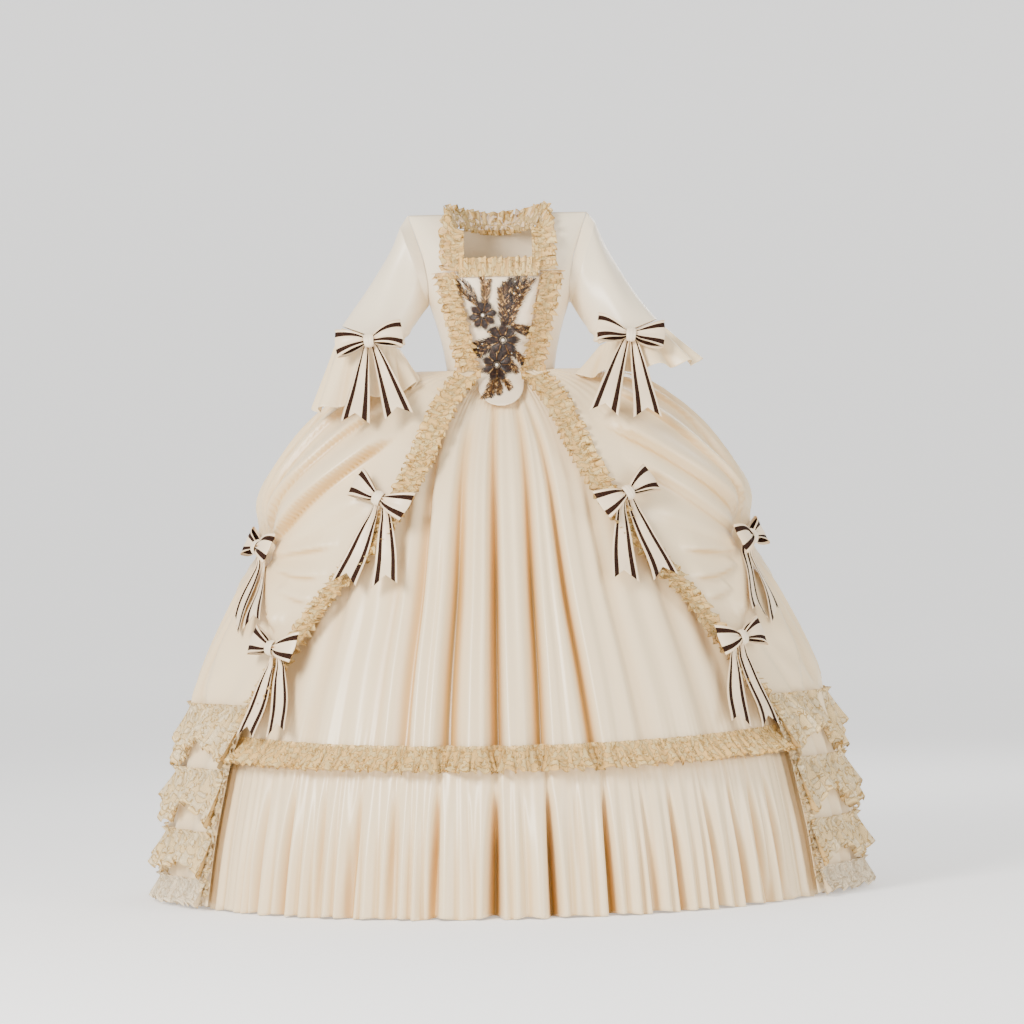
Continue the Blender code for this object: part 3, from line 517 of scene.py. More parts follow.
# The flounce's deep pleats in the same columns: turn at its seam and at the hem. All begin at the seam.
FLOUNCE_PLEATS = (
    (-49.0, -50.0, 0.022, 0.012, 0.3, 0.0),
    (-42.5, -43.5, 0.028, 0.012, -0.3, 0.0),
    (-35.0, -35.6, 0.022, 0.010, 0.4, 0.0),
    (-27.5, -28.6, 0.030, 0.012, 0.3, 0.0),
    (-20.8, -21.6, 0.026, 0.013, -0.4, 0.0),
    (-12.6, -13.6, 0.034, 0.012, 0.5, 0.0),
    (-7.6, -7.2, 0.014, 0.010, 0.2, 0.0),
    (-2.4, -3.0, 0.060, 0.016, 0.1, 0.0),
    (2.0, 2.4, 0.012, 0.010, -0.2, 0.0),
    (6.6, 7.1, 0.056, 0.011, -0.5, 0.0),
    (11.6, 12.2, 0.016, 0.011, 0.3, 0.0),
    (17.0, 17.6, 0.038, 0.012, 0.6, 0.0),
    (23.8, 24.6, 0.022, 0.010, -0.3, 0.0),
    (29.5, 30.6, 0.030, 0.011, 0.4, 0.0),
    (36.5, 37.8, 0.024, 0.011, -0.4, 0.0),
    (43.0, 44.4, 0.030, 0.010, 0.3, 0.0),
    (48.6, 50.2, 0.026, 0.010, 0.4, 0.0),
    (53.4, 55.2, 0.026, 0.009, -0.2, 0.0),
)
SEAM_DROP = WAIST_HEIGHT - FLOUNCE_TOP
# How far each width runs past its seams, in degrees, so that no gap shows there.
SEAM_LAP = 0.22
WIDTH_TURNS = {"front": (-58.0, 58.0), "right": (58.4, 115.6), "back": (116.0, 244.0), "left": (244.4, 301.6)}
# The hem's mean radius, the fullness of a width and of its flounce as cut, and the share of a width's box
# that is left once it is shaped to the waist.
HEM_RADIUS, WIDTH_FULLNESS, FLOUNCE_FULLNESS, WIDTH_SHAPED = 0.62, 1.10, 1.25, 0.68


def hidden_pleats(part, first, last, depth, width):
    """Pleats like the front's for a width that is out of sight, from a fixed seed."""
    rng = np.random.default_rng(len(part))
    turns = np.arange(first + 7, last - 5, HIDDEN_PLEAT_SPACING)
    pleats = []
    for turn in turns + rng.uniform(-2, 2, len(turns)):
        low_turn, deep = turn + rng.uniform(-1, 1), depth * rng.uniform(0.5, 1.2)
        pleats.append((turn, low_turn, deep, width, rng.uniform(-0.5, 0.5), rng.uniform(0, 0.2)))
    return pleats


def pleat_field(pleats, turn, drop, top, low, growth=0.12):
    """Depth (negative) of these pleats over a grid, and how far down in one each place lies, from 0 to 1."""
    share = np.clip((drop - top) / (low - top), 0, 1)
    radius = 0.5 * (read(PETTICOAT_FORM, HALF_WIDTH, drop) + read(PETTICOAT_FORM, FRONT_DEPTH, drop))
    total, fold = np.zeros_like(turn), np.zeros_like(turn)
    for pleat in pleats:
        middle = blend(pleat[TOP_TURN], pleat[LOW_TURN], share)
        aside = np.radians(turn - middle) * radius
        width = pleat[WIDTH] * (0.35 + 0.65 * share)
        width = width * np.where(aside > 0, 1 - 0.6 * pleat[LEAN], 1 + 0.6 * pleat[LEAN])
        shape = np.exp(-np.abs(aside / width) ** 2.3)
        strength = ease((drop - top - pleat[FROM]) / growth) * (0.35 + 0.65 * ease(share * 1.6))
        if pleat[FROM] == 0.0:
            strength = np.maximum(strength, 0.22)
        total -= pleat[DEPTH] * shape * strength
        # Painted shade down in each pleat, stronger the deeper the pleat.
        fold = np.maximum(fold, shape**1.6 * strength * min(pleat[DEPTH] / 0.040, 1.0))
    return total, fold


def petticoat_width(part, first, last, rows, columns):
    turn = spread(first - SEAM_LAP, last + SEAM_LAP, columns, rows)
    drop = fall(0.003, SEAM_DROP - 0.002, columns, rows)
    pleats = PETTICOAT_PLEATS if part == "front" else hidden_pleats(part, first, last, 0.014, 0.022)
    field, fold = pleat_field(pleats, turn, drop, 0.0, SEAM_DROP)
    around = (turn - first) / (last - first)
    gathers = gather_wave(11 + len(part), around, 1.0, 0.016) * 0.0028 * np.exp(-drop / WAIST_FADE)
    pulled = gather_wave(3 + len(part), around, 1.0, 0.011) * 0.0014 * np.exp(-(SEAM_DROP - drop) / 0.035)
    roll = soft_noise(5 + len(part), turn.shape, (3, 18)) * 0.0030 * ease(drop / 0.3)
    points = form_points(turn, drop, field + gathers + pulled + roll)
    piece = cloth(f"petticoat_{part}_cloth", points, LOOKS["satin"], flat_uv(points), fold)
    settle(piece, [f"petticoat_{part}"])


def flounce_width(part, first, last, rows, columns):
    turn = spread(first - SEAM_LAP, last + SEAM_LAP, columns, rows)
    drop = fall(SEAM_DROP + 0.002, WAIST_HEIGHT - 0.001, columns, rows)
    pleats = FLOUNCE_PLEATS if part == "front" else hidden_pleats(part, first, last, 0.030, 0.014)
    field, fold = pleat_field(pleats, turn, drop, SEAM_DROP, WAIST_HEIGHT, 0.09)
    share = (drop - SEAM_DROP) / FLOUNCE_TOP
    around = (turn - first) / (last - first)
    span = 2 * math.pi * HEM_RADIUS * (last - first) / 360
    seam = ease(np.minimum(around, 1 - around) / 0.03)
    wide = gather_wave(21 + len(part), around, span, 0.031) * (0.0016 + 0.0062 * ease(share * 1.2)) * seam
    narrow = gather_wave(31 + len(part), around, span, 0.019) * 0.0013 * np.exp(-share / 0.35) * seam
    points = form_points(turn, drop, 0.001 + 0.85 * field + wide + narrow)
    swing = gather_wave(41 + len(part), around, span, 0.075) * 0.0025 * share
    points[..., 2] += swing
    # Painted shade in the hollows of the wide gathers, on top of the painted shade in the pleats.
    fold = np.maximum(fold, ease(-wide / 0.0060) * (0.34 + 0.20 * share))
    node, flat = f"petticoat_flounce_{part}", (round(span * FLOUNCE_FULLNESS, 3), FLOUNCE_TOP)
    piece = cloth(f"{node}_cloth", points, LOOKS["satin"], flat_uv(points), fold, rim=HEM_RIM)
    settle(piece, [node])


def build_petticoat():
    """Four widths and their flounces, in finer grids at the front, where the overskirt leaves them bare."""
    for part, (first, last) in WIDTH_TURNS.items():
        shown = part == "front"
        columns = 520 if shown else int((last - first) * 2.2)
        petticoat_width(part, first, last, 96 if shown else 40, columns)
        flounce_width(part, first, last, 44 if shown else 24, columns)


# ---------------------------------------------------------------- overskirt

KNOT_TURN, KNOT_DROP = 75.0, 0.378
# Where the folds begin to flatten under the sack back, and how much all rolls are raised.
TUCK_TURN, ROLL_GAIN = 147, 1.30
# The pinch behind the side bow, and how far around it painted shade darkens the cloth.
PINCH_DEPTH, PINCH_RADIUS, KNOT_SHADE_RADIUS = 0.016, 0.030, 0.17
# Above the side bow the cloth hangs in rolls that are caught up into it, and below it they fan out again.
OVERSKIRT_ROLLS = {
    "left": (
        ((34.0, 0.145), (44.0, 0.200), (71.5, 0.364), 0.027, 0.052, 0.16),
        ((44.0, 0.095), (58.0, 0.185), (77.6, 0.357), 0.019, 0.034, 0.25),
        ((56.0, 0.050), (72.0, 0.150), (79.2, 0.349), 0.015, 0.030, 0.28),
        ((73.0, 0.045), (88.0, 0.130), (80.8, 0.343), 0.013, 0.028, 0.30),
        ((100.0, 0.060), (104.0, 0.170), (81.1, 0.349), 0.012, 0.032, 0.40),
        ((118.0, 0.080), (116.0, 0.200), (81.4, 0.354), 0.014, 0.036, -0.35),
        ((140.0, 0.160), (119.0, 0.284), (82.1, 0.358), 0.012, 0.036, 0.40),
        ((33.0, 0.255), (52.0, 0.300), (71.2, 0.378), 0.009, 0.034, 0.50),
        ((44.0, 0.352), (58.0, 0.372), (69.3, 0.380), 0.011, 0.022, 0.32),
        ((46.0, 0.408), (58.0, 0.425), (67.2, 0.395), 0.010, 0.020, 0.36),
        ((49.0, 0.458), (56.0, 0.462), (62.0, 0.436), 0.008, 0.017, 0.40),
        ((73.5, 0.386), (65.1, 0.440), (58.7, 0.520), 0.017, 0.028, -0.16),
        ((75.9, 0.394), (77.3, 0.500), (75.0, 0.665), 0.014, 0.034, -0.22),
        ((77.0, 0.396), (84.7, 0.520), (82.0, 0.690), 0.010, 0.026, 0.35),
        ((78.9, 0.394), (95.3, 0.500), (97.0, 0.670), 0.012, 0.032, 0.30),
        ((80.9, 0.394), (104.9, 0.480), (114.0, 0.660), 0.013, 0.036, 0.30),
        ((83.7, 0.389), (116.5, 0.460), (131.0, 0.650), 0.010, 0.036, 0.30),
        ((112.0, 0.030), (117.0, 0.300), (121.0, 0.640), 0.014, 0.034, -0.25),
        ((124.0, 0.030), (128.0, 0.320), (131.0, 0.660), 0.018, 0.030, -0.20),
        ((136.0, 0.030), (138.0, 0.300), (141.0, 0.650), 0.012, 0.026, -0.30),
        ((146.0, 0.030), (147.0, 0.320), (149.0, 0.660), 0.016, 0.024, -0.25),
    ),
    "right": (
        ((33.0, 0.115), (48.0, 0.195), (76.9, 0.332), 0.022, 0.046, 0.34),
        ((36.0, 0.195), (50.0, 0.268), (73.6, 0.360), 0.015, 0.040, 0.30),
        ((47.0, 0.070), (62.0, 0.150), (78.8, 0.344), 0.016, 0.030, 0.22),
        ((62.0, 0.048), (77.0, 0.125), (80.5, 0.338), 0.014, 0.026, 0.20),
        ((80.0, 0.045), (92.0, 0.130), (81.2, 0.340), 0.012, 0.026, 0.26),
        ((102.0, 0.060), (106.0, 0.180), (81.1, 0.349), 0.013, 0.032, 0.40),
        ((121.0, 0.085), (117.0, 0.210), (81.4, 0.354), 0.013, 0.036, -0.35),
        ((142.0, 0.170), (120.6, 0.294), (82.0, 0.359), 0.012, 0.036, 0.40),
        ((35.0, 0.290), (56.0, 0.330), (71.3, 0.380), 0.009, 0.032, 0.50),
        ((46.0, 0.372), (58.0, 0.390), (68.5, 0.386), 0.011, 0.021, 0.32),
        ((47.0, 0.425), (57.0, 0.440), (65.5, 0.408), 0.010, 0.020, 0.36),
        ((50.0, 0.470), (57.0, 0.470), (60.3, 0.450), 0.007, 0.016, 0.40),
        ((73.6, 0.388), (66.9, 0.430), (60.6, 0.515), 0.016, 0.028, -0.18),
        ((75.9, 0.394), (76.3, 0.500), (73.0, 0.655), 0.013, 0.032, -0.24),
        ((77.0, 0.396), (83.7, 0.520), (81.0, 0.690), 0.010, 0.026, 0.35),
        ((78.9, 0.394), (94.3, 0.500), (96.0, 0.670), 0.012, 0.032, 0.30),
        ((80.9, 0.394), (105.9, 0.480), (115.0, 0.660), 0.012, 0.036, 0.30),
        ((83.7, 0.389), (117.5, 0.460), (132.0, 0.650), 0.011, 0.036, 0.30),
        ((111.0, 0.030), (115.0, 0.310), (118.0, 0.640), 0.015, 0.034, -0.25),
        ((122.0, 0.030), (126.0, 0.300), (130.0, 0.660), 0.013, 0.028, -0.30),
        ((133.0, 0.030), (136.0, 0.320), (139.0, 0.650), 0.018, 0.030, -0.20),
        ((145.0, 0.030), (146.0, 0.300), (148.0, 0.660), 0.013, 0.024, -0.25),
    ),
}


def hem_wave(side, across, drop):
    """The overskirt's loose waves, which begin below the side bow and deepen to the hem."""
    return gather_wave(71 + side, across, 1.0, 0.075) * 0.0075 * ease((drop - 0.50) / 0.25)


def build_overskirt_side(side_name, side):
    """One looped-up side: rolls drawn to the side bow, and long folds that lie flat under the sack back."""
    rows, columns = 190, 210
    drop, across = fall(*OVERSKIRT_DROPS, columns, rows), spread(0, 1, columns, rows)
    edge = read(OVERSKIRT_EDGE, EDGE_TURN, drop)
    turn = blend(edge, OVERSKIRT_BACK_TURN, across)
    field, crook = roll_field(OVERSKIRT_ROLLS[side_name], turn, drop)
    tucked = 1 - 0.9 * ease((turn - TUCK_TURN) / 10)
    field *= ROLL_GAIN * tucked
    # Painted shade where the cloth faces down, on the lower side of each roll.
    under = ease(-np.gradient(field, drop[:, 0], axis=0) / 1.1)
    away = np.hypot((turn - KNOT_TURN) * TURN_TO_ARC, drop - KNOT_DROP)
    pinch = -PINCH_DEPTH * np.exp(-((away / PINCH_RADIUS) ** 2))
    waist = np.exp(-drop / WAIST_FADE)
    gathers = gather_wave(61 + side, across, 1.0, 0.026) * OVERSKIRT_GATHERS * waist
    lower = hem_wave(side, across, drop) * tucked
    points = overskirt_points(side, turn, drop, field + pinch + gathers + lower)
    # Painted shade down in the crooks under the rolls, in the waist's gathers and in the hem's waves.
    fold = 0.95 * crook + ease(-gathers / OVERSKIRT_GATHERS) * 0.5 * waist + ease(-lower / 0.010) * 0.25
    # Painted shade round the side bow, fading with distance and unevenly strong.
    mottled = 0.30 + 0.20 * soft_noise(65 + side, turn.shape, (14, 9))
    knot_shade = np.exp(-((away / KNOT_SHADE_RADIUS) ** 2)) * mottled
    fold = np.maximum(fold, np.maximum(0.62 * under, knot_shade))
    points, fold = points[:, ::side], np.clip(fold, 0, 1)[:, ::side]
    node = f"overskirt_{side_name}"
    piece = cloth(f"{node}_cloth", points, LOOKS["satin"], flat_uv(points), fold, rim=HEM_RIM)
    settle(piece, [node])


# ---------------------------------------------------------------- ruffles

# Lace: the width of its scallops, how much further its pattern runs than its line of stitches, and its
# fullness as cut.
SCALLOP, PATTERN_FULLNESS, LACE_FULLNESS = 0.016, 1.6, 1.35


def ruffle(base, across, width, seed, spacing, wave, stitch=0.5, rows=9, turn_out=0.0):
    """A gathered strip of lace along a line of stitches, waving more the further it is from them.

    base is the line of stitches, across the way over the strip, and stitch where on its width the line lies.
    """
    columns = len(base)
    along = np.gradient(base, axis=0)
    steps = np.linalg.norm(np.diff(base, axis=0), axis=1)
    run = np.concatenate([[0], np.cumsum(steps)])
    along /= np.linalg.norm(along, axis=1, keepdims=True)
    across = across / np.linalg.norm(across, axis=1, keepdims=True)
    out = np.cross(along, across)
    out /= np.linalg.norm(out, axis=1, keepdims=True)
    out *= np.sign(np.sum(out * outward_of(base), axis=1, keepdims=True))
    gathers = gather_wave(seed, run / run[-1], run[-1], spacing)
    second = gather_wave(seed + 1, run / run[-1], run[-1], spacing * 0.43)
    drift = gather_wave(seed + 2, run / run[-1], run[-1], spacing * 0.7)
    edge_wave = 0.0036 * np.abs(np.sin(np.pi * run / SCALLOP)) + 0.003 * drift
    points = np.empty((rows, columns, 3))
    edge = np.empty((rows, columns))
    shade = np.empty((rows, columns))
    uv = np.empty((rows, columns, 2))
    for row, v in enumerate(np.linspace(0, 1, rows)):
        free = abs(v - stitch) / max(stitch, 1 - stitch)
        half = math.copysign(1, v - stitch)
        reach = (v - stitch) * width + half * edge_wave * (free > 0.95)
        gathered = 0.8 * gathers * half + 0.45 * second
        rise = wave * free**0.8 * gathered + wave * 0.6 * free
        points[row] = base + across * (reach[:, None] * (1 - 0.10 * turn_out)) + out * rise[:, None]
        points[row] += along * (drift * wave * 0.55 * free)[:, None]
        points[row] += out * (turn_out * free**2 * width * 0.5)
        edge[row] = np.clip((free - 0.80) / 0.18, 0, 1) if v > stitch or stitch > 0.2 else 0.0
        edge[row] = np.maximum(edge[row], 0.97 * math.exp(-(((v - stitch) / 0.05) ** 2)))
        # Painted shade in the hollows of the gathers, strongest near the line of stitches.
        shade[row] = ease(0.15 + 0.75 * -gathered) * (0.35 + 0.65 * math.exp(-free / 0.7))
        uv[row, :, 0], uv[row, :, 1] = run * PATTERN_FULLNESS, v * width
    return points, uv, edge, shade, run[-1]


def outward_of(base):
    """A rough way out of the gown at each point: away from its middle axis and a little up."""
    out = base * np.array([1.0, 1.0, 0.0])
    return out / np.maximum(np.linalg.norm(out, axis=1, keepdims=True), 1e-9) + np.array([0.0, 0.0, 0.15])


def lace_strip(name, node, base, across, look, width, seed, rests_on, **shape):
    """A ruffle as its own piece, in place of this node."""
    points, uv, edge, shade, length = ruffle(base, across, width, seed, **shape)
    piece = cloth(f"{name}_cloth", points, LOOKS[look], uv, edge, shade=shade)
    settle(piece, [node])


# Lace down each front edge of the overskirt: its drops and points, turn past the edge, stand, look, width,
# seed, and the spacing, wave and rows of its ruffle.
EDGE_LACES = {
    "lace_edge": (0.024, 0.690, 384, 0.3, 0.004, "lace", 0.050, 100, 0.019, 0.0095, 13),
    "lace_front": (0.690, 1.030, 200, 0.5, 0.010, "tier", 0.028, 110, 0.020, 0.0060, 9),
}


def build_lace_edges():
    for side_name, side in SIDES.items():
        for name, row in EDGE_LACES.items():
            top, bottom, count, past, stand, look, width, seed, spacing, wave, rows = row
            drop = np.linspace(top, bottom, count)
            edge = read(OVERSKIRT_EDGE, EDGE_TURN, drop)
            base = overskirt_points(side, edge + past, drop, stand)
            inner = overskirt_points(side, edge + 3.0, drop, stand)
            lace_strip(
                f"{name}_{side_name}", f"lace_edge_{side_name}", base, base - inner, look, width, seed + side,
                [f"overskirt_{side_name}_cloth"], spacing=spacing, wave=wave, rows=rows,
            )


def build_petticoat_lace():
    """The band over the flounce's seam, which follows the pleats and dips at the middle."""
    turn = np.linspace(-62.6, 62.6, 620)
    drop = WAIST_HEIGHT - 0.330 + 0.016 * np.cos(np.radians(1.4 * turn))
    pleat, _fold = pleat_field(PETTICOAT_PLEATS, turn[None, :], drop[None, :], 0.0, SEAM_DROP)
    base = form_points(turn, drop, 0.010 + 0.80 * pleat[0])
    low = form_points(turn, drop + 0.03, 0.021 + 0.80 * pleat[0])
    lace_strip(
        "petticoat_lace", "petticoat_lace", base, low - base, "lace", 0.064, 130,
        ["petticoat_front_cloth", "petticoat_flounce_front_cloth"],
        spacing=0.024, wave=0.0075, stitch=0.16, rows=13, turn_out=0.22,
    )


# Each tier: its node, heading height, hem height, flare, lace, and how wide and deep its hem sweeps.
TIERS = (
    ("tier_upper", 0.400, 0.302, 0.016, "tier", 0.27, 0.052),
    ("tier_middle", 0.272, 0.184, 0.018, "tier", 0.25, 0.044),
    ("tier_lower", 0.150, 0.078, 0.018, "tier", 0.23, 0.030),
    ("hem_lace", 0.058, 0.008, 0.010, "hem", 0.060, 0.000),
)
# The length of a tier's heading, its fullness as cut, and the height of its gathers and of their ripples.
TIER_LENGTH, TIER_FULLNESS, TIER_WAVE, TIER_RIPPLE = 1.12, 1.3, 0.0085, 0.0042
# The share of a tier's depth at which it is stitched down; what is above stands up as a frill.
TIER_STITCH = 0.14


def build_tiers():
    for number, tier in enumerate(TIERS):
        for side_name, side in SIDES.items():
            build_tier(*tier, 200 + 10 * number + side, side_name, side)


def build_tier(node, top, bottom, flare, look, spacing, zigzag, seed, side_name, side):
    """One lace ruffle round the overskirt, with a frilled heading and a hem that sweeps up and down."""
    columns, rows = 560, 15
    share, across = fall(0, 1, columns, rows), spread(0, 1, columns, rows)
    drop = WAIST_HEIGHT - blend(top, bottom, share)
    edge = read(OVERSKIRT_EDGE, EDGE_TURN, drop)
    hem = -zigzag * 0.5 * np.cos(2 * np.pi * across * TIER_LENGTH / spacing) * share
    wave = gather_wave(seed, across, TIER_LENGTH, 0.040) * TIER_WAVE
    ripple = gather_wave(seed + 5, across, TIER_LENGTH, 0.017) * TIER_RIPPLE
    free = np.clip((share - TIER_STITCH) / (1 - TIER_STITCH), 0, 1)
    frill = np.clip((TIER_STITCH - share) / TIER_STITCH, 0, 1)
    stand = 0.006 + flare * free**1.3 + (wave + ripple) * (0.12 + free) * 0.9 + frill * (0.006 + 1.5 * ripple)
    off = np.maximum(stand, 0.004) + hem_wave(side, across, drop)
    points = overskirt_points(side, blend(edge + 0.4, TIER_BACK_TURN, across), drop, off)
    points[..., 2] += hem + 0.006 * ripple / TIER_RIPPLE * share
    uv = np.stack([across * TIER_LENGTH * 1.5, share * (top - bottom)], axis=-1)
    lower_edge = np.clip((share - 0.84) / 0.12, 0, 1)
    heading = np.clip((0.10 - np.abs(share - 0.12)) / 0.08, 0, 1) * 0.8
    inner_edge = np.clip((0.022 - across) / 0.010, 0, 1)
    trim = np.maximum(np.maximum(lower_edge, heading), inner_edge)
    # Painted shade in the hollows of the gathers and ripples, strongest near the heading.
    hollow = ease(-0.6 * wave / TIER_WAVE - 0.5 * ripple / TIER_RIPPLE + 0.1)
    hollow *= 0.4 + 0.6 * np.exp(-share / 0.4)
    points, uv, trim, hollow = (grid[:, ::side] for grid in (points, uv, trim, hollow))
    piece = cloth(f"{node}_{side_name}_cloth", points, LOOKS[look], uv, trim, shade=hollow)
    settle(piece, [f"{node}_{side_name}"])


# ---------------------------------------------------------------- bodice and sleeves


def build_bodice():
    rows, columns = 70, 40
    for side_name, side in SIDES.items():
        share, across = fall(1, 0, columns, rows), spread(0, 1, columns, rows)
        height = blend(BODICE_BOTTOM, SHOULDER_HEIGHT, share)
        x = blend(read(BODICE_FORM, OPENING, height), read(BODICE_FORM, ARMHOLE, height), across)
        tension = gather_wave(300 + side, share, 1.0, 0.16) * 0.0010 * across
        strain = 0.0012 * np.sin(across * 9 + share * 5) * ease((0.35 - np.abs(share - 0.38)) / 0.35) * across
        points = body_front(side * x, height, 0.002 + tension + strain)
        node, uv = f"bodice_front_{side_name}", flat_uv(points)
        piece = cloth(f"{node}_cloth", points[:, ::side], LOOKS["bodice"], uv, 0 * x, rim=HEM_RIM)
        settle(piece, [node])
    rows, columns = 60, 70
    across = spread(-1, 1, columns, rows)
    top = blend(NECK_BACK_HEIGHT, SHOULDER_HEIGHT, ease((np.abs(across) - 0.42) / 0.2))
    height = blend(BODICE_BOTTOM, top, fall(1, 0, columns, rows))
    points = body_back(-across * read(BODICE_FORM, ARMHOLE, height), height, 0.002)
    piece = cloth("bodice_back_cloth", points, LOOKS["bodice"], flat_uv(points), 0 * across, rim=HEM_RIM)
    settle(piece, ["bodice_back"])


# Sleeve sections from the armhole down: share of the length, the outer and the inner end across and up, the
# half depth and the middle's y.
SLEEVE_COLUMNS = range(1, 7)
SLEEVE_SECTIONS = (
    (0.20, 0.1990, 1.357, 0.1460, 1.194, 0.064, -0.004),
    (0.36, 0.2180, 1.310, 0.1530, 1.182, 0.061, -0.012),
    (0.52, 0.2430, 1.262, 0.1660, 1.160, 0.057, -0.026),
    (0.68, 0.2720, 1.215, 0.1800, 1.137, 0.055, -0.042),
    (0.84, 0.3000, 1.178, 0.1910, 1.118, 0.054, -0.058),
    (1.00, 0.3200, 1.154, 0.2000, 1.106, 0.054, -0.070),
)
# Where each flounce ends, in the same columns, and how far its hem is lifted towards the front.
FLOUNCE_END = {
    "left": (0.3750, 0.985, 0.1700, 1.034, 0.068, -0.118, 0.034),
    "right": (0.4000, 1.068, 0.1560, 1.044, 0.060, -0.104, 0.014),
}


def armhole_points(side, angle, off):
    """Points round the armhole at these angles from its top, moved out by off."""
    cosine, sine = np.cos(angle), np.sin(angle)
    height = blend(UNDERARM_HEIGHT + 0.001, SHOULDER_HEIGHT, (1 + cosine) / 2)
    x = read(BODICE_FORM, ARMHOLE, height)
    reach = np.where(sine >= 0, body_y(x, height, BODY_FRONT), -body_y(x, height, BODY_BACK))
    return np.stack([side * (x + off), -reach, height], axis=-1)


def section_points(side, section, angle, wave):
    """Points round sections of an arm at these angles, with waves that swell their outline."""
    outer_x, outer_z, inner_x, inner_z, deep, middle_y = section
    half = 0.5 * np.hypot(outer_x - inner_x, outer_z - inner_z)
    swell = 1 + wave / half
    x = (outer_x + inner_x) / 2 + (outer_x - inner_x) / 2 * np.cos(angle) * swell
    z = (outer_z + inner_z) / 2 + (outer_z - inner_z) / 2 * np.cos(angle) * swell
    return np.stack([side * x, middle_y - (deep + wave) * np.sin(angle), z], axis=-1)


def build_sleeves():
    rows, columns = 90, 120
    for side_name, side in SIDES.items():
        angle, at = -circle(columns, rows), fall(0, 1, columns, rows)
        top = ease((np.cos(angle) - 0.2) / 0.8)
        head = np.cos(angle * 17 + 0.8 * np.sin(angle * 3)) * 0.0034 * top * np.exp(-at / 0.10)
        drape = 0.0022 * np.sin(angle * 3 + at * 4 + side) + 0.0016 * np.sin(angle * 5 - at * 7)
        inside = ease((-np.cos(angle) - 0.1) / 0.9)
        elbow = 0.0030 * np.sin(at * 34 + angle) * inside * ease((at - 0.55) / 0.3)
        wave = head + drape * ease(at / 0.25) + elbow
        start = armhole_points(side, angle, 0.0008)
        section = [read(SLEEVE_SECTIONS, key, at) for key in SLEEVE_COLUMNS]
        points = blend(start, section_points(side, section, angle, wave), ease(at / 0.20)[..., None])
        # Painted shade in the hollows of the head's gathers and of the elbow's creases.
        fold = ease(-head / 0.004) * 0.45 + ease(-elbow / 0.004) * 0.30
        node, uv = f"sleeve_{side_name}", flat_uv(points)
        piece = cloth(f"{node}_cloth", points[:, ::side], LOOKS["bodice"], uv, fold[:, ::side], closed=True)
        settle(piece, [node])
        build_sleeve_flounce(side_name, side)


def build_sleeve_flounce(side_name, side):
    """A flounce from the sleeve's last section to its own end: wide waves, and fine gathers at the seam."""
    rows, columns = 44, 330
    angle, share = -circle(columns, rows), fall(0, 1, columns, rows)
    *end, lift = FLOUNCE_END[side_name]
    section = [blend(first, last, share) for first, last in zip(SLEEVE_SECTIONS[-1][1:], end)]
    around = np.mod(-angle, 2 * np.pi) / (2 * np.pi)
    wide = np.cos(9 * 2 * np.pi * around + 1.2 * np.sin(2 * np.pi * around * 2 + side))
    fine = np.cos(29 * 2 * np.pi * around + 1.5 * np.sin(2 * np.pi * around * 3))
    wave = (0.0095 * wide * share**0.8 + 0.0022 * fine * np.exp(-share / 0.4)) * ease(share * 3 + 0.2)
    points = section_points(side, section, angle, wave)
    points[..., 2] -= 0.004
    points[..., 2] += lift * share * np.maximum(-np.sin(angle), 0.0) + 0.006 * wide * share**2
    # Painted shade in the hollows of the wide waves.
    fold = ease(-wide * 0.8) * 0.45 * ease(share * 1.5)
    node, uv = f"sleeve_flounce_{side_name}", flat_uv(points)
    points, fold = points[:, ::side], fold[:, ::side]
    piece = cloth(f"{node}_cloth", points, LOOKS["satin"], uv, fold, closed=True, rim=HEM_RIM)
    settle(piece, [node])


# The stomacher: half width by height, and the heights between which it narrows to its point.
STOMACHER_SHAPE = ((1.030, 0.0465), (1.055, 0.0500), (1.100, 0.0580), (1.150, 0.0670), (1.250, 0.0860))
POINT_TOP, POINT_BOTTOM = 1.030, 0.984
STOMACHER_DEPTH = 0.2655


def stomacher_half(height):
    """Half the stomacher's width: straight sides down to a rounded point."""
    below = np.clip((POINT_TOP - height) / (POINT_TOP - POINT_BOTTOM), 0, 0.9999)
    return read(STOMACHER_SHAPE, 1, height) * np.sqrt(1 - below**2.2)


def stomacher_points(across, height, off=0.0):
    """Points on the stomacher, which below the waist leans out over the petticoat."""
    x = across * stomacher_half(height)
    level = np.maximum(height, WAIST_HEIGHT)
    below = np.maximum(WAIST_HEIGHT - height, 0.0)
    points = body_front(x, level, 0.006 + off + 1.15 * below)
    points[..., 2] = height
    return points


def build_stomacher():
    rows, columns = 60, 40
    across = spread(-1, 1, columns, rows)
    height = NECK_HEIGHT - STOMACHER_DEPTH * fall(0, 1, columns, rows) ** 0.8
    points = stomacher_points(across, height)
    piece = cloth("stomacher_cloth", points, LOOKS["light"], flat_uv(points), 0 * across, rim=STOMACHER_RIM)
    settle(piece, ["stomacher"])


# ---------------------------------------------------------------- beaded applique

# Flowers: middle across and up, radius, turn in degrees, and how many petals.
FLOWERS = (
    (-0.0335, 1.1666, 0.0310, 10.0, 8),
    (0.0060, 1.1164, 0.0375, 0.0, 8),
    (-0.0074, 1.0674, 0.0345, 22.0, 8),
)
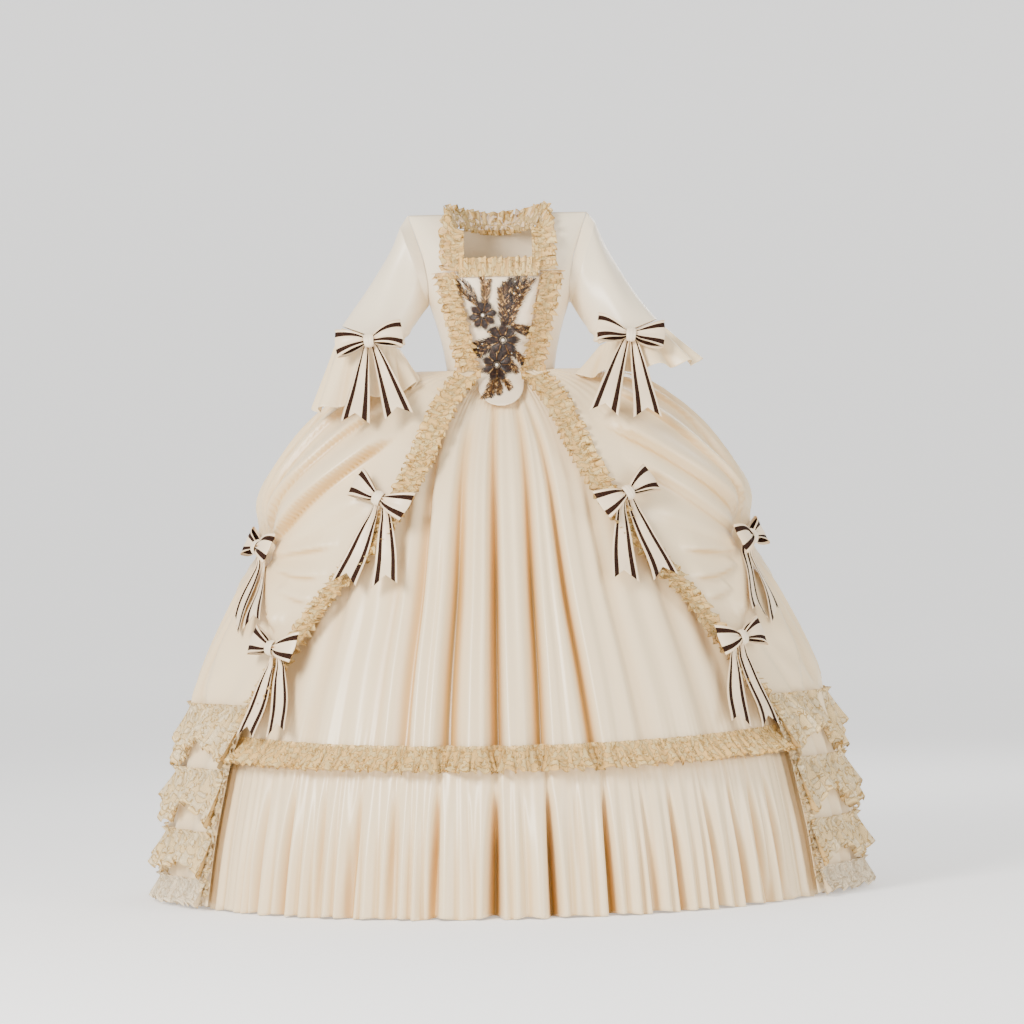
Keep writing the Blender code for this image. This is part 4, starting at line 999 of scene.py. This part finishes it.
# Leaves: the root and the tip across and up, half width, how far the rib bows sideways, spikelets on each
# side and the share of them that is gold.
LEAVES = (
    (-0.0440, 1.1860, -0.0860, 1.2380, 0.0090, 0.004, 19, 0.75),
    (-0.0420, 1.1860, -0.0740, 1.2390, 0.0075, -0.004, 15, 0.60),
    (-0.0320, 1.1860, -0.0360, 1.2480, 0.0095, -0.004, 19, 0.85),
    (-0.0260, 1.1860, -0.0170, 1.2390, 0.0085, 0.003, 16, 0.75),
    (0.0062, 1.1440, 0.0000, 1.2200, 0.0130, -0.006, 26, 0.80),
    (0.0090, 1.1440, 0.0110, 1.2320, 0.0130, 0.000, 28, 0.55),
    (0.0130, 1.1440, 0.0240, 1.2400, 0.0120, 0.003, 28, 0.15),
    (0.0160, 1.1440, 0.0400, 1.2430, 0.0120, 0.004, 28, 0.20),
    (0.0190, 1.1440, 0.0560, 1.2440, 0.0120, 0.004, 28, 0.60),
    (0.0210, 1.1460, 0.0710, 1.2380, 0.0130, 0.008, 28, 0.85),
    (0.0210, 1.1480, 0.0760, 1.1240, 0.0085, 0.004, 19, 0.60),
    (0.0210, 1.1440, 0.0620, 1.1270, 0.0070, -0.002, 14, 0.35),
    (-0.0180, 1.1190, -0.0580, 1.1080, 0.0110, 0.004, 17, 0.45),
    (-0.0180, 1.1100, -0.0530, 1.0960, 0.0100, 0.000, 15, 0.55),
    (-0.0180, 1.1020, -0.0430, 1.0860, 0.0090, -0.003, 12, 0.35),
    (0.0160, 1.1020, 0.0460, 1.0660, 0.0100, 0.004, 17, 0.60),
    (0.0140, 1.0880, 0.0330, 1.0520, 0.0090, -0.002, 14, 0.70),
    (-0.0160, 1.0480, -0.0400, 0.9990, 0.0085, 0.006, 18, 0.80),
    (-0.0120, 1.0480, -0.0230, 1.0020, 0.0085, 0.002, 16, 0.70),
    (-0.0080, 1.0480, -0.0060, 1.0060, 0.0085, 0.003, 15, 0.80),
    (-0.0030, 1.0480, 0.0170, 1.0160, 0.0085, 0.004, 15, 0.85),
    (-0.0060, 1.0990, 0.0200, 1.0840, 0.0090, 0.000, 12, 0.30),
    (-0.0080, 1.1440, -0.0160, 1.1330, 0.0090, 0.000, 12, 0.50),
)
# Loops of small beads: middle across and up, radius and number of beads.
BEAD_RINGS = (
    (0.0330, 1.2330, 0.0080, 16),
    (0.0380, 1.2200, 0.0060, 13),
    (0.0300, 1.2090, 0.0055, 12),
    (0.0420, 1.2060, 0.0050, 11),
    (-0.0360, 1.1100, 0.0060, 13),
    (-0.0450, 1.1020, 0.0050, 11),
    (0.0230, 1.0900, 0.0055, 12),
)
# Radii: a bugle in a petal, in the bar between petals and in a leaf, the beads of a flower's middle, of a
# leaf and of a loop, and the pearls in a flower and in a loop.
PETAL_BUGLE, BAR_BUGLE, LEAF_BUGLE = 0.00115, 0.0010, 0.00085
MIDDLE_BEAD, LEAF_BEAD, LOOP_BEAD = 0.0016, 0.0011, 0.0012
FLOWER_PEARL, LOOP_PEARL = 0.0034, 0.0015
# The flower's middle: radius of its ring of beads, and their number.
MIDDLE_RING, MIDDLE_BEADS = 0.0048, 9
# How wide a bead's rings are, and a bugle's rings as the share of its length and of its radius.
BEAD_GIRTH = 0.87
BUGLE_RINGS = ((0.0, 0.35), (0.12, 1.0), (0.82, 1.0), (1.0, 0.25))


class Trimming:
    """Beads and bugles gathered into joined meshes, each standing on the stomacher's front."""

    def __init__(self):
        self.points, self.faces = [], []
        self.count = 0

    def add(self, points, faces):
        self.points.append(points)
        self.faces += [[corner + self.count for corner in face] for face in faces]
        self.count += len(points)

    def bead(self, x, z, radius, lift=0.0):
        """A round bead of two rings of six corners between its poles."""
        middle = stomacher_front(x, z, lift + radius * 0.7)
        points = [middle + [0, radius, 0]]
        for level in (-0.5, 0.5):
            for corner in range(6):
                angle = math.pi / 3 * (corner + 0.5 * (level > 0))
                way = [math.cos(angle) * BEAD_GIRTH, -level, math.sin(angle) * BEAD_GIRTH]
                points.append(middle + np.array(way) * radius)
        points.append(middle - [0, radius, 0])
        corners = [(c, (c + 1) % 6) for c in range(6)]
        faces = [(0, 1 + c, 1 + after) for c, after in corners]
        for c, after in corners:
            faces += [(1 + c, 7 + c, 1 + after), (1 + after, 7 + c, 7 + after)]
        faces += [(13, 7 + after, 7 + c) for c, after in corners]
        self.add(np.array(points), faces)

    def bugle(self, start, end, radius, lift=0.0, rise=0.0):
        """A tapered glass tube from one place to another, its far end lifted by rise."""
        first = stomacher_front(*start, lift + radius)
        last = stomacher_front(*end, lift + radius + rise)
        along = (last - first) / np.linalg.norm(last - first)
        aside = np.cross(along, [0.0, 1.0, 0.0])
        aside /= np.linalg.norm(aside)
        over = np.cross(along, aside)
        points, faces = [], []
        for share, girth in BUGLE_RINGS:
            for corner in range(6):
                angle = math.pi / 3 * corner
                way = aside * math.cos(angle) + over * math.sin(angle)
                points.append(first + (last - first) * share + way * radius * girth)
        for ring in range(3):
            for c in range(6):
                a, b = ring * 6 + c, ring * 6 + (c + 1) % 6
                faces.append((a, b, b + 6, a + 6))
        faces += [tuple(range(5, -1, -1)), tuple(range(18, 24))]
        self.add(np.array(points), faces)

    def finish(self, name, look):
        piece = shell(name, np.vstack(self.points), self.faces, LOOKS[look])
        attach(piece, "root")
        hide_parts("stomacher_applique")


def stomacher_front(x, z, off):
    """The place of one bead or one end of a bugle, this far off the stomacher."""
    half = float(stomacher_half(z))
    return stomacher_points(np.array(x / half), np.array(z), 0.0012 + off)


def bead_flower(x, z, radius, turn, petals, beads, bugles, pearls, rng):
    """Petals of nine dark bugles each with a bronze one between petals, and a pearl in a ring of beads."""
    for petal in range(petals):
        middle = math.radians(turn + 360 / petals * petal)
        for spoke in range(-4, 5):
            angle = middle + spoke * math.radians(5.0)
            reach = radius * (1.00 - 0.045 * abs(spoke) ** 1.4) * rng.uniform(0.96, 1.03)
            inner = radius * 0.20
            root = (x + inner * math.cos(angle), z + inner * math.sin(angle))
            tip = (x + reach * math.cos(angle), z + reach * math.sin(angle))
            beads.bugle(root, tip, PETAL_BUGLE, 0.0046 - 0.0004 * abs(spoke), 0.0012)
        bar = middle + math.radians(180 / petals)
        root = (x + radius * 0.28 * math.cos(bar), z + radius * 0.28 * math.sin(bar))
        tip = (x + radius * 0.82 * math.cos(bar), z + radius * 0.82 * math.sin(bar))
        bugles.bugle(root, tip, BAR_BUGLE, 0.0066, -0.0006)
    for number in range(MIDDLE_BEADS):
        angle = 2 * math.pi * number / MIDDLE_BEADS
        place = (x + MIDDLE_RING * math.cos(angle), z + MIDDLE_RING * math.sin(angle))
        beads.bead(*place, MIDDLE_BEAD, 0.0062)
    pearls.bead(x, z, FLOWER_PEARL, 0.0064)


def bead_leaf(leaf, beads, bugles, rng):
    """A bowed rib of beads with spikelets on both sides, some of them gold."""
    root, tip = np.array(leaf[0:2]), np.array(leaf[2:4])
    half_width, bow, count, golden = leaf[4:8]
    rib = (tip - root) / np.linalg.norm(tip - root)
    side = np.array([-rib[1], rib[0]])
    spikelet = half_width * 1.55
    for number in range(count):
        share = (number + 0.5) / count
        middle = root + (tip - root) * share + side * bow * math.sin(math.pi * share)
        girth = math.sin(math.pi * (0.12 + 0.84 * share)) ** 0.7
        for hand in (-1, 1):
            angle = math.radians(rng.uniform(26, 40))
            way = rib * math.cos(angle) + side * hand * math.sin(angle)
            end = middle + way * spikelet * girth * rng.uniform(0.85, 1.1)
            kind = bugles if rng.uniform() < golden else beads
            kind.bugle(tuple(middle), tuple(end), LEAF_BUGLE, 0.0010 + rng.uniform(0, 0.0012), 0.0004)
            if rng.uniform() < 0.35:
                beads.bead(*(middle + way * spikelet * girth), LEAF_BEAD, 0.0010)
        beads.bead(*middle, LEAF_BEAD, 0.0020)


def build_applique():
    rng = np.random.default_rng(900)
    beads, bugles, pearls = Trimming(), Trimming(), Trimming()
    for leaf in LEAVES:
        bead_leaf(leaf, beads, bugles, rng)
    for flower in FLOWERS:
        bead_flower(*flower, beads, bugles, pearls, rng)
    for x, z, radius, count in BEAD_RINGS:
        for number in range(count):
            angle = 2 * math.pi * number / count
            beads.bead(x + radius * math.cos(angle), z + radius * math.sin(angle), LOOP_BEAD, 0.0026)
        pearls.bead(x, z, LOOP_PEARL, 0.0026)
    beads.finish("applique_beads", "beads")
    bugles.finish("applique_bugles", "bugles")
    pearls.finish("applique_pearls", "pearls")


# ---------------------------------------------------------------- sack back

# The sack back: by height, how far across its side edge lies and how far it stands off the gown.
PLEAT_EDGE, PLEAT_OFF = 1, 2
WATTEAU_FORM = (
    (0.003, 0.345, 0.030),
    (0.150, 0.326, 0.030),
    (0.300, 0.300, 0.030),
    (0.500, 0.262, 0.032),
    (0.700, 0.212, 0.035),
    (0.850, 0.172, 0.044),
    (0.960, 0.140, 0.060),
    (1.062, 0.112, 0.080),
    (1.150, 0.096, 0.030),
    (1.240, 0.088, 0.012),
    (1.300, 0.084, 0.008),
    (1.345, 0.080, 0.006),
)
# The heights of its top and hem and where it begins to open, and the depth of its flat folds, of its flutes,
# of the ripples on them and of the groove where both sides meet.
PLEAT_TOP, PLEAT_HEM, PLEAT_OPENS = 1.345, 0.003, 1.30
FOLD_DEPTH, FLUTE_DEPTH, RIPPLE_DEPTH, GROOVE_DEPTH = 0.0085, 0.0175, 0.0042, 0.010


def back_points(x, height, off):
    """Points behind the bodice and, below the waist, behind the overskirt, moved out by off."""
    above = body_back(x, np.maximum(height, WAIST_HEIGHT), 0.003 + off)
    drop = np.clip(WAIST_HEIGHT - height, 0.0, None)
    stand = read(OVERSKIRT_OFF, SIDE_OFF, drop) + off
    sine = np.minimum(np.abs(x) / (read(PETTICOAT_FORM, HALF_WIDTH, drop) + stand), 1.0)
    below = (read(PETTICOAT_FORM, BACK_DEPTH, drop) + stand) * np.sqrt(1 - sine**2)
    y = np.where(height >= WAIST_HEIGHT, above[..., 1], below)
    return np.stack([x, y, height], axis=-1)


def build_watteau():
    """Two pleats a side, flat at the neck with a crisp fold each, that open into soft flutes below."""
    rows, columns = 150, 90
    for side_name, side in SIDES.items():
        height, across = fall(PLEAT_TOP, PLEAT_HEM, columns, rows), spread(0, 1, columns, rows)
        edge, off = read(WATTEAU_FORM, PLEAT_EDGE, height), read(WATTEAU_FORM, PLEAT_OFF, height)
        fallen = ease((PLEAT_OPENS - height) / 0.5)
        fold_place = across + 0.05 * np.sin(height * 4.0 + side) * fallen
        layered = FOLD_DEPTH * (1 - np.mod(fold_place * 2, 1.0) ** 5) * (1 - 0.8 * fallen)
        flutes = np.cos(fold_place * 4 * np.pi + 0.5 * np.sin(height * 5 + side)) * FLUTE_DEPTH * fallen
        ripples = np.cos(fold_place * 10 * np.pi + 1.1 * np.sin(height * 3)) * RIPPLE_DEPTH * fallen
        small = soft_noise(400 + side, across.shape, (5, 7)) * 0.004 * fallen
        groove = GROOVE_DEPTH * np.exp(-((across * edge / 0.012) ** 2))
        # Each side laps a little over the middle, so that no gap opens there.
        x = edge * across - 0.004 * (1 - across) ** 12
        points = back_points(side * x, height, off + layered + flutes + ripples + small - groove)
        smoothed = points.copy()
        for _pass in range(6):
            smoothed[1:-1] = (smoothed[:-2] + smoothed[1:-1] * 2 + smoothed[2:]) / 4
        # Painted shade down in the flutes, and a painted shadow line along each crisp fold near the neck.
        crease = np.exp(-(((np.mod(fold_place * 2, 1.0) - 0.97) / 0.05) ** 2)) * (1 - fallen)
        fold = np.maximum(ease(-flutes / FLUTE_DEPTH) * 0.55, 0.7 * crease)
        node, uv = f"watteau_pleat_{side_name}", flat_uv(points)
        smoothed, fold = smoothed[:, ::-side], fold[:, ::-side]
        piece = cloth(f"{node}_cloth", smoothed, LOOKS["satin"], uv, fold, rim=HEM_RIM)
        settle(piece, [node])


# ---------------------------------------------------------------- neck lace

# The robings' ends, and how far they lie outside the opening there. Half the width between the lines that the
# collar is sewn along, its top beside the neck, and where it begins to turn up.
ROBING_TOP, ROBING_BOTTOM, TOP_OUTSIDE, BOTTOM_OUTSIDE = 1.256, 1.058, 0.024, 0.013
COLLAR_HALF, COLLAR_TOP, COLLAR_TURNS = 0.088, 1.372, 1.30

def build_neck_laces():
    """The robings beside the stomacher, the ruffle along its top and the collar."""
    for side_name, side in SIDES.items():
        height = np.linspace(ROBING_TOP, ROBING_BOTTOM, 170)
        outside = blend(BOTTOM_OUTSIDE, TOP_OUTSIDE, (height - ROBING_BOTTOM) / (ROBING_TOP - ROBING_BOTTOM))
        x = side * (read(BODICE_FORM, OPENING, height) + outside)
        base = body_front(x, height, 0.0105)
        over = body_front(x + side * 0.01, height, 0.0105)
        node = f"lace_robing_{side_name}"
        lace_strip(
            node, node, base, over - base, "lace", 0.048, 150 + side, [f"bodice_front_{side_name}_cloth"],
            spacing=0.017, wave=0.0085, rows=13,
        )
    x = np.linspace(-0.080, 0.080, 150)
    base = body_front(x, np.full_like(x, NECK_HEIGHT), 0.011)
    node = "lace_stomacher"
    lace_strip(
        node, node, base, np.tile([0.0, 0.12, 1.0], (150, 1)), "lace", 0.036, 160, ["stomacher_cloth"],
        spacing=0.016, wave=0.0060, stitch=0.15, rows=11,
    )
    build_collar_lace()


def build_collar_lace():
    """One ruffle up the side of the square neck, round the back and down the other side."""
    up = np.linspace(ROBING_TOP, COLLAR_TOP, 120)
    around = np.linspace(-1, 1, 150)[1:-1]
    left = body_front(np.full_like(up, -COLLAR_HALF), up, 0.0120)
    right = left[::-1] * np.array([-1.0, 1.0, 1.0])
    lean = np.abs(around)
    back = [around * COLLAR_HALF, blend(0.068, -0.020, lean**2.2), blend(1.360, 1.376, lean**2)]
    base = np.vstack([left, np.stack(back, axis=-1), right])
    turn = ease((up - COLLAR_TURNS) / 0.08)
    side_up = np.stack([0 * up - 0.15, 0 * up, turn], axis=-1)
    side_in = np.stack([0 * up - 1.0, 0 * up, 0 * up], axis=-1)
    turn = turn[:, None]
    left_across = side_in * (1 - turn) + (side_up + np.array([-0.2, 0.0, 0.0])) * turn
    right_across = left_across[::-1] * np.array([-1.0, 1.0, 1.0])
    back_across = np.stack([around * 0.35, 0.15 + 0 * around, 1 + 0 * around], axis=-1)
    across = np.vstack([left_across, back_across, right_across])
    lace_strip(
        "lace_neck", "lace_neck", base, across, "lace", 0.046, 170, ["bodice neck edge"],
        spacing=0.018, wave=0.0105, stitch=0.42, rows=13,
    )


# ---------------------------------------------------------------- bows

RIBBON_WIDTH = 0.062
LOOP_REACH, LOOP_END = 0.068, 0.064
LOOP_RISE, LOOP_PINCH, LOOP_PUFF = 0.007, 0.0032, 0.018
KNOT_WIDTH = 0.020
TAIL_LENGTH = 0.175
TAILS_APART, TAIL_BEHIND, TAIL_SINK = 0.003, 0.0115, 0.010
TAIL_TILT, TAIL_SPREAD = math.radians(10), math.radians(4.5)
# Bows on the overskirt: the knot's turn, drop and how far it stands off, the lean of its tails and the
# further tip of its loops, in degrees, outer end up.
BOW_TIP = 4
SKIRT_BOWS = {
    "upper": (32.5, 0.280, 0.034, -1.0, 21.0),
    "side": (74.0, 0.380, 0.034, -16.0, 22.0),
    "lower": (53.8, 0.558, 0.036, -5.0, 11.0),
}
SLEEVE_BOW_PLACE = (0.262, -0.164, 1.120)
SLEEVE_BOW_TURN, SLEEVE_BOW_LEAN, SLEEVE_BOW_SLOPE = 8.0, -8.0, 27.0


def tilted(level, down, lean):
    """The directions across, out and up of a bow on cloth that runs this way, leaning by this angle."""
    across = level / np.linalg.norm(level)
    up = -down / np.linalg.norm(down)
    up = up - across * np.dot(up, across)
    up /= np.linalg.norm(up)
    leaning = across * math.cos(lean) + up * math.sin(lean)
    upward = up * math.cos(lean) - across * math.sin(lean)
    return leaning, np.cross(leaning, upward), upward


def bow_frame(kind, side):
    """The knot's place and the directions across, out of and up its cloth."""
    if kind == "sleeve":
        turn, slope = math.radians(SLEEVE_BOW_TURN), math.radians(SLEEVE_BOW_SLOPE)
        level = np.array([math.cos(turn), math.sin(turn), 0.0])
        away = math.sin(slope)
        down = np.array([math.sin(turn) * away, -math.cos(turn) * away, -math.cos(slope)])
        across, out, upward = tilted(level, down, math.radians(SLEEVE_BOW_LEAN))
        centre = np.array(SLEEVE_BOW_PLACE)
    else:
        turn, drop, off, lean = SKIRT_BOWS[kind][:BOW_TIP]
        near = np.array([0.0, -2.0, 2.0, 0.0])
        below = np.array([0.0, 0.0, 0.0, TAIL_LENGTH])
        here, before, after, low = overskirt_points(1, turn + near, drop + below)
        level, down = after - before, low - here
        across, out, upward = tilted(level, down, math.radians(lean))
        centre = here + out * off
    mirror = np.array([side, 1.0, 1.0])
    return centre * mirror, across * mirror, out * mirror, upward * mirror


def build_bow(kind, side_name, side):
    """Loops, knot and tails. Its loops tip further than its tails, which sink in behind them."""
    centre, across, out, upward = bow_frame(kind, side)
    name = f"bow_{kind}_{side_name}"
    rng = np.random.default_rng(500 + 7 * len(kind) + side)

    def place(x, y, z):
        return centre + x[..., None] * across + y[..., None] * out + z[..., None] * upward

    tip = math.radians(SKIRT_BOWS[kind][BOW_TIP]) if kind in SKIRT_BOWS else 0.0

    def tipped(x, y, z):
        return place(x * math.cos(tip) - z * math.sin(tip), y, x * math.sin(tip) + z * math.cos(tip))

    build_loops(name, tipped, rng)
    build_knot(name, tipped)
    build_tails(name, place, TAIL_SINK if tip else 0.004, rng)


def build_loops(name, place, rng):
    """Both loops in one flat ring of ribbon, pinched at the knot and open at its ends."""
    steps, rows = 120, 25
    angle, share = circle(steps, rows), fall(0.5, -0.5, steps, rows)
    reach = np.cos(angle)
    reach = np.sign(reach) * np.abs(reach) ** 0.9
    opened = np.clip((np.abs(reach) - 0.13) / 0.87, 0, 1) ** 0.75
    y = np.sin(angle) * (LOOP_PINCH + LOOP_PUFF * opened * np.sqrt(np.clip(1 - reach**2, 0, 1)))
    height = blend(KNOT_WIDTH * 0.62, LOOP_END, opened)
    pinched = np.cos(share * 2 * np.pi * 2.5 + rng.uniform(0, 6)) * 0.0030 * np.exp(-opened / 0.45)
    hollow = -0.006 * np.cos(share * np.pi) * opened * (1 - np.abs(reach)) * np.sign(np.sin(angle))
    x = LOOP_REACH * reach * (1 + 0.02 * np.cos(share * 2 * np.pi))
    fan = share * height + LOOP_RISE * np.abs(reach) + 0.004 * np.sin(reach * 3 + rng.uniform(0, 6)) * opened
    points = place(x, y + pinched + hollow, fan)
    uv = np.stack([angle / (2 * np.pi), share + 0.5], axis=-1)
    piece = cloth(f"{name}_loops_cloth", points, LOOKS["ribbon"], uv, closed=True, rim=RIBBON_RIM)
    settle(piece, [f"{name}_loops"])


def build_knot(name, place):
    """A band of plain satin wrapped round the middle of the loops."""
    steps, rows = 40, 15
    angle, share = circle(steps, rows), fall(-0.5, 0.5, steps, rows)
    puff = 1 + 0.20 * np.cos(share * np.pi) + 0.05 * np.sin(share * 2 * np.pi * 3)
    x = share * KNOT_WIDTH * (1.0 - 0.12 * np.abs(np.sin(angle)))
    points = place(x, 0.0086 * np.cos(angle) * puff, 0.0130 * np.sin(angle) * puff)
    uv = np.stack([angle * 0.011, share * KNOT_WIDTH], axis=-1)
    piece = cloth(f"{name}_knot_cloth", points, LOOKS["light"], uv, 0 * angle, closed=True, rim=RIBBON_RIM)
    settle(piece, [f"{name}_knot"])


def build_tails(name, place, sink, rng):
    """Both ribbon ends in one mesh, each fanned from the knot, rippled and cut with a notch."""
    rows, columns = 60, 21
    points, uvs, faces = [], [], []
    for tail in (-1, 1):
        share, v = fall(0, 1, columns, rows), spread(-1, 1, columns, rows)
        length = TAIL_LENGTH * share * (1 - 0.13 * (1 - np.abs(v)) * share**3)
        width = blend(KNOT_WIDTH * 0.5, RIBBON_WIDTH * 0.95, share**0.8)
        inner = TAILS_APART / 2 + length * math.sin(TAIL_SPREAD)
        x = tail * (inner + width / 2 * math.cos(TAIL_TILT)) + v * width / 2 * math.cos(TAIL_TILT)
        z = -length + tail * v * width / 2 * math.sin(TAIL_TILT) - 0.002
        ripple = 0.0040 * np.sin(share * 7 + rng.uniform(0, 6)) * share
        ripple += 0.0035 * v * np.sin(share * 5 + rng.uniform(0, 6))
        pleat = 0.0035 * np.cos(v * np.pi * 1.5 + rng.uniform(-1, 1)) * np.exp(-share / 0.22)
        y = -TAIL_BEHIND - 0.8 * sink * ease(share * 5.0) + ripple + pleat
        grid = place(x, y, z)
        start = sum(len(p) for p in points)
        index = np.arange(rows * columns).reshape(rows, columns) + start
        points.append(grid.reshape(-1, 3))
        uvs.append(np.stack([share, (v + 1) / 2], axis=-1).reshape(-1, 2))
        faces.append(quads_of(index))
    points, faces, uv = np.vstack(points), np.vstack(faces), np.vstack(uvs)
    piece = shell(f"{name}_tails_cloth", points, faces, LOOKS["ribbon"], uv, rim=RIBBON_RIM)
    settle(piece, [f"{name}_tails"])


# ---------------------------------------------------------------- camera, light and floor

CAMERA_DISTANCE, CAMERA_HEIGHT, CAMERA_ASIDE = 8.3, 0.77, 0.0163
VIEW_WIDTH, CAMERA_ROLL = 2.09, 1.3
# Lights: place above the hem plane, size, power and colour. All face the gown's middle at this height.
LIGHTS_AIM = 0.75
LIGHTS = (
    ("key", (-2.6, -3.6, 2.9), (1.3, 1.9), 330.0, (1.0, 0.97, 0.93)),
    ("fill", (3.2, -3.2, 1.6), (1.4, 2.4), 85.0, (1.0, 1.0, 1.0)),
    ("rim", (1.5, 3.5, 2.8), (2.0, 1.5), 50.0, (1.0, 1.0, 1.0)),
)
SKY_COLOUR, SKY_STRENGTH = (1.0, 0.985, 0.96, 1), 0.86
# Where the floor begins to curve up behind the gown, and the radius of the curve.
FLOOR_END, FLOOR_CURVE = 11.0, 3.0


def build_camera():
    data = bpy.data.cameras.new("camera")
    data.sensor_width = 36.0
    data.lens = data.sensor_width * CAMERA_DISTANCE / VIEW_WIDTH
    camera = bpy.data.objects.new("camera", data)
    camera.location = (CAMERA_ASIDE, -CAMERA_DISTANCE, HEM_Z + CAMERA_HEIGHT)
    camera.rotation_euler = (math.pi / 2, math.radians(CAMERA_ROLL), 0.0)
    bpy.context.scene.collection.objects.link(camera)
    bpy.context.scene.camera = camera


def area_light(name, place, size, power, colour):
    """A soft box at this place above the hem plane that faces the gown's middle."""
    data = bpy.data.lights.new(name, "AREA")
    data.shape = "RECTANGLE"
    data.size, data.size_y = size
    data.energy = power
    data.color = colour
    light = bpy.data.objects.new(name, data)
    light.location = TO_FRAME + place
    x, y, z = np.array([0.0, 0.0, LIGHTS_AIM]) - place
    light.rotation_euler = (math.atan2(math.hypot(x, y), -z), 0.0, math.atan2(y, x) - math.pi / 2)
    bpy.context.scene.collection.objects.link(light)


def build_studio():
    world = bpy.data.worlds.new("studio")
    world.use_nodes = True
    background = world.node_tree.nodes["Background"]
    background.inputs["Color"].default_value = SKY_COLOUR
    background.inputs["Strength"].default_value = SKY_STRENGTH
    bpy.context.scene.world = world
    for light in LIGHTS:
        area_light(*light)
    floor_mesh()


def floor_mesh():
    """A pale floor that curves up into a backdrop far behind the gown."""
    n = Nodes("studio_floor")
    place = n.add("ShaderNodeTexCoord", output=3)
    cloud = n.add("ShaderNodeTexNoise", Vector=place, Scale=3.0)
    n.set(Base_Color=n.mix(cloud, (0.93, 0.93, 0.93, 1), (0.95, 0.95, 0.95, 1)))
    n.set(Roughness=0.9, Emission_Color=(1.0, 1.0, 1.0, 1.0), Emission_Strength=0.42)
    profile = [(y, 0.0) for y in np.linspace(-16, FLOOR_END, 5)]
    bends = np.linspace(0.2, math.pi / 2, 8)
    profile += [(FLOOR_END + FLOOR_CURVE * math.sin(a), FLOOR_CURVE * (1 - math.cos(a))) for a in bends]
    profile += [(FLOOR_END + FLOOR_CURVE, 12.0)]
    points = np.array([[(x, y, z - 0.002) for x in (-20.0, 20.0)] for y, z in profile])
    return cloth("studio_floor", points, n.material)


def build():
    build_camera()
    build_studio()
    build_petticoat()
    build_petticoat_lace()
    build_bodice()
    build_stomacher()
    build_applique()
    build_sleeves()
    build_watteau()
    build_neck_laces()
    for side_name, side in SIDES.items():
        build_overskirt_side(side_name, side)
        for kind in ("sleeve", "upper", "side", "lower"):
            build_bow(kind, side_name, side)
    build_lace_edges()
    build_tiers()


build()
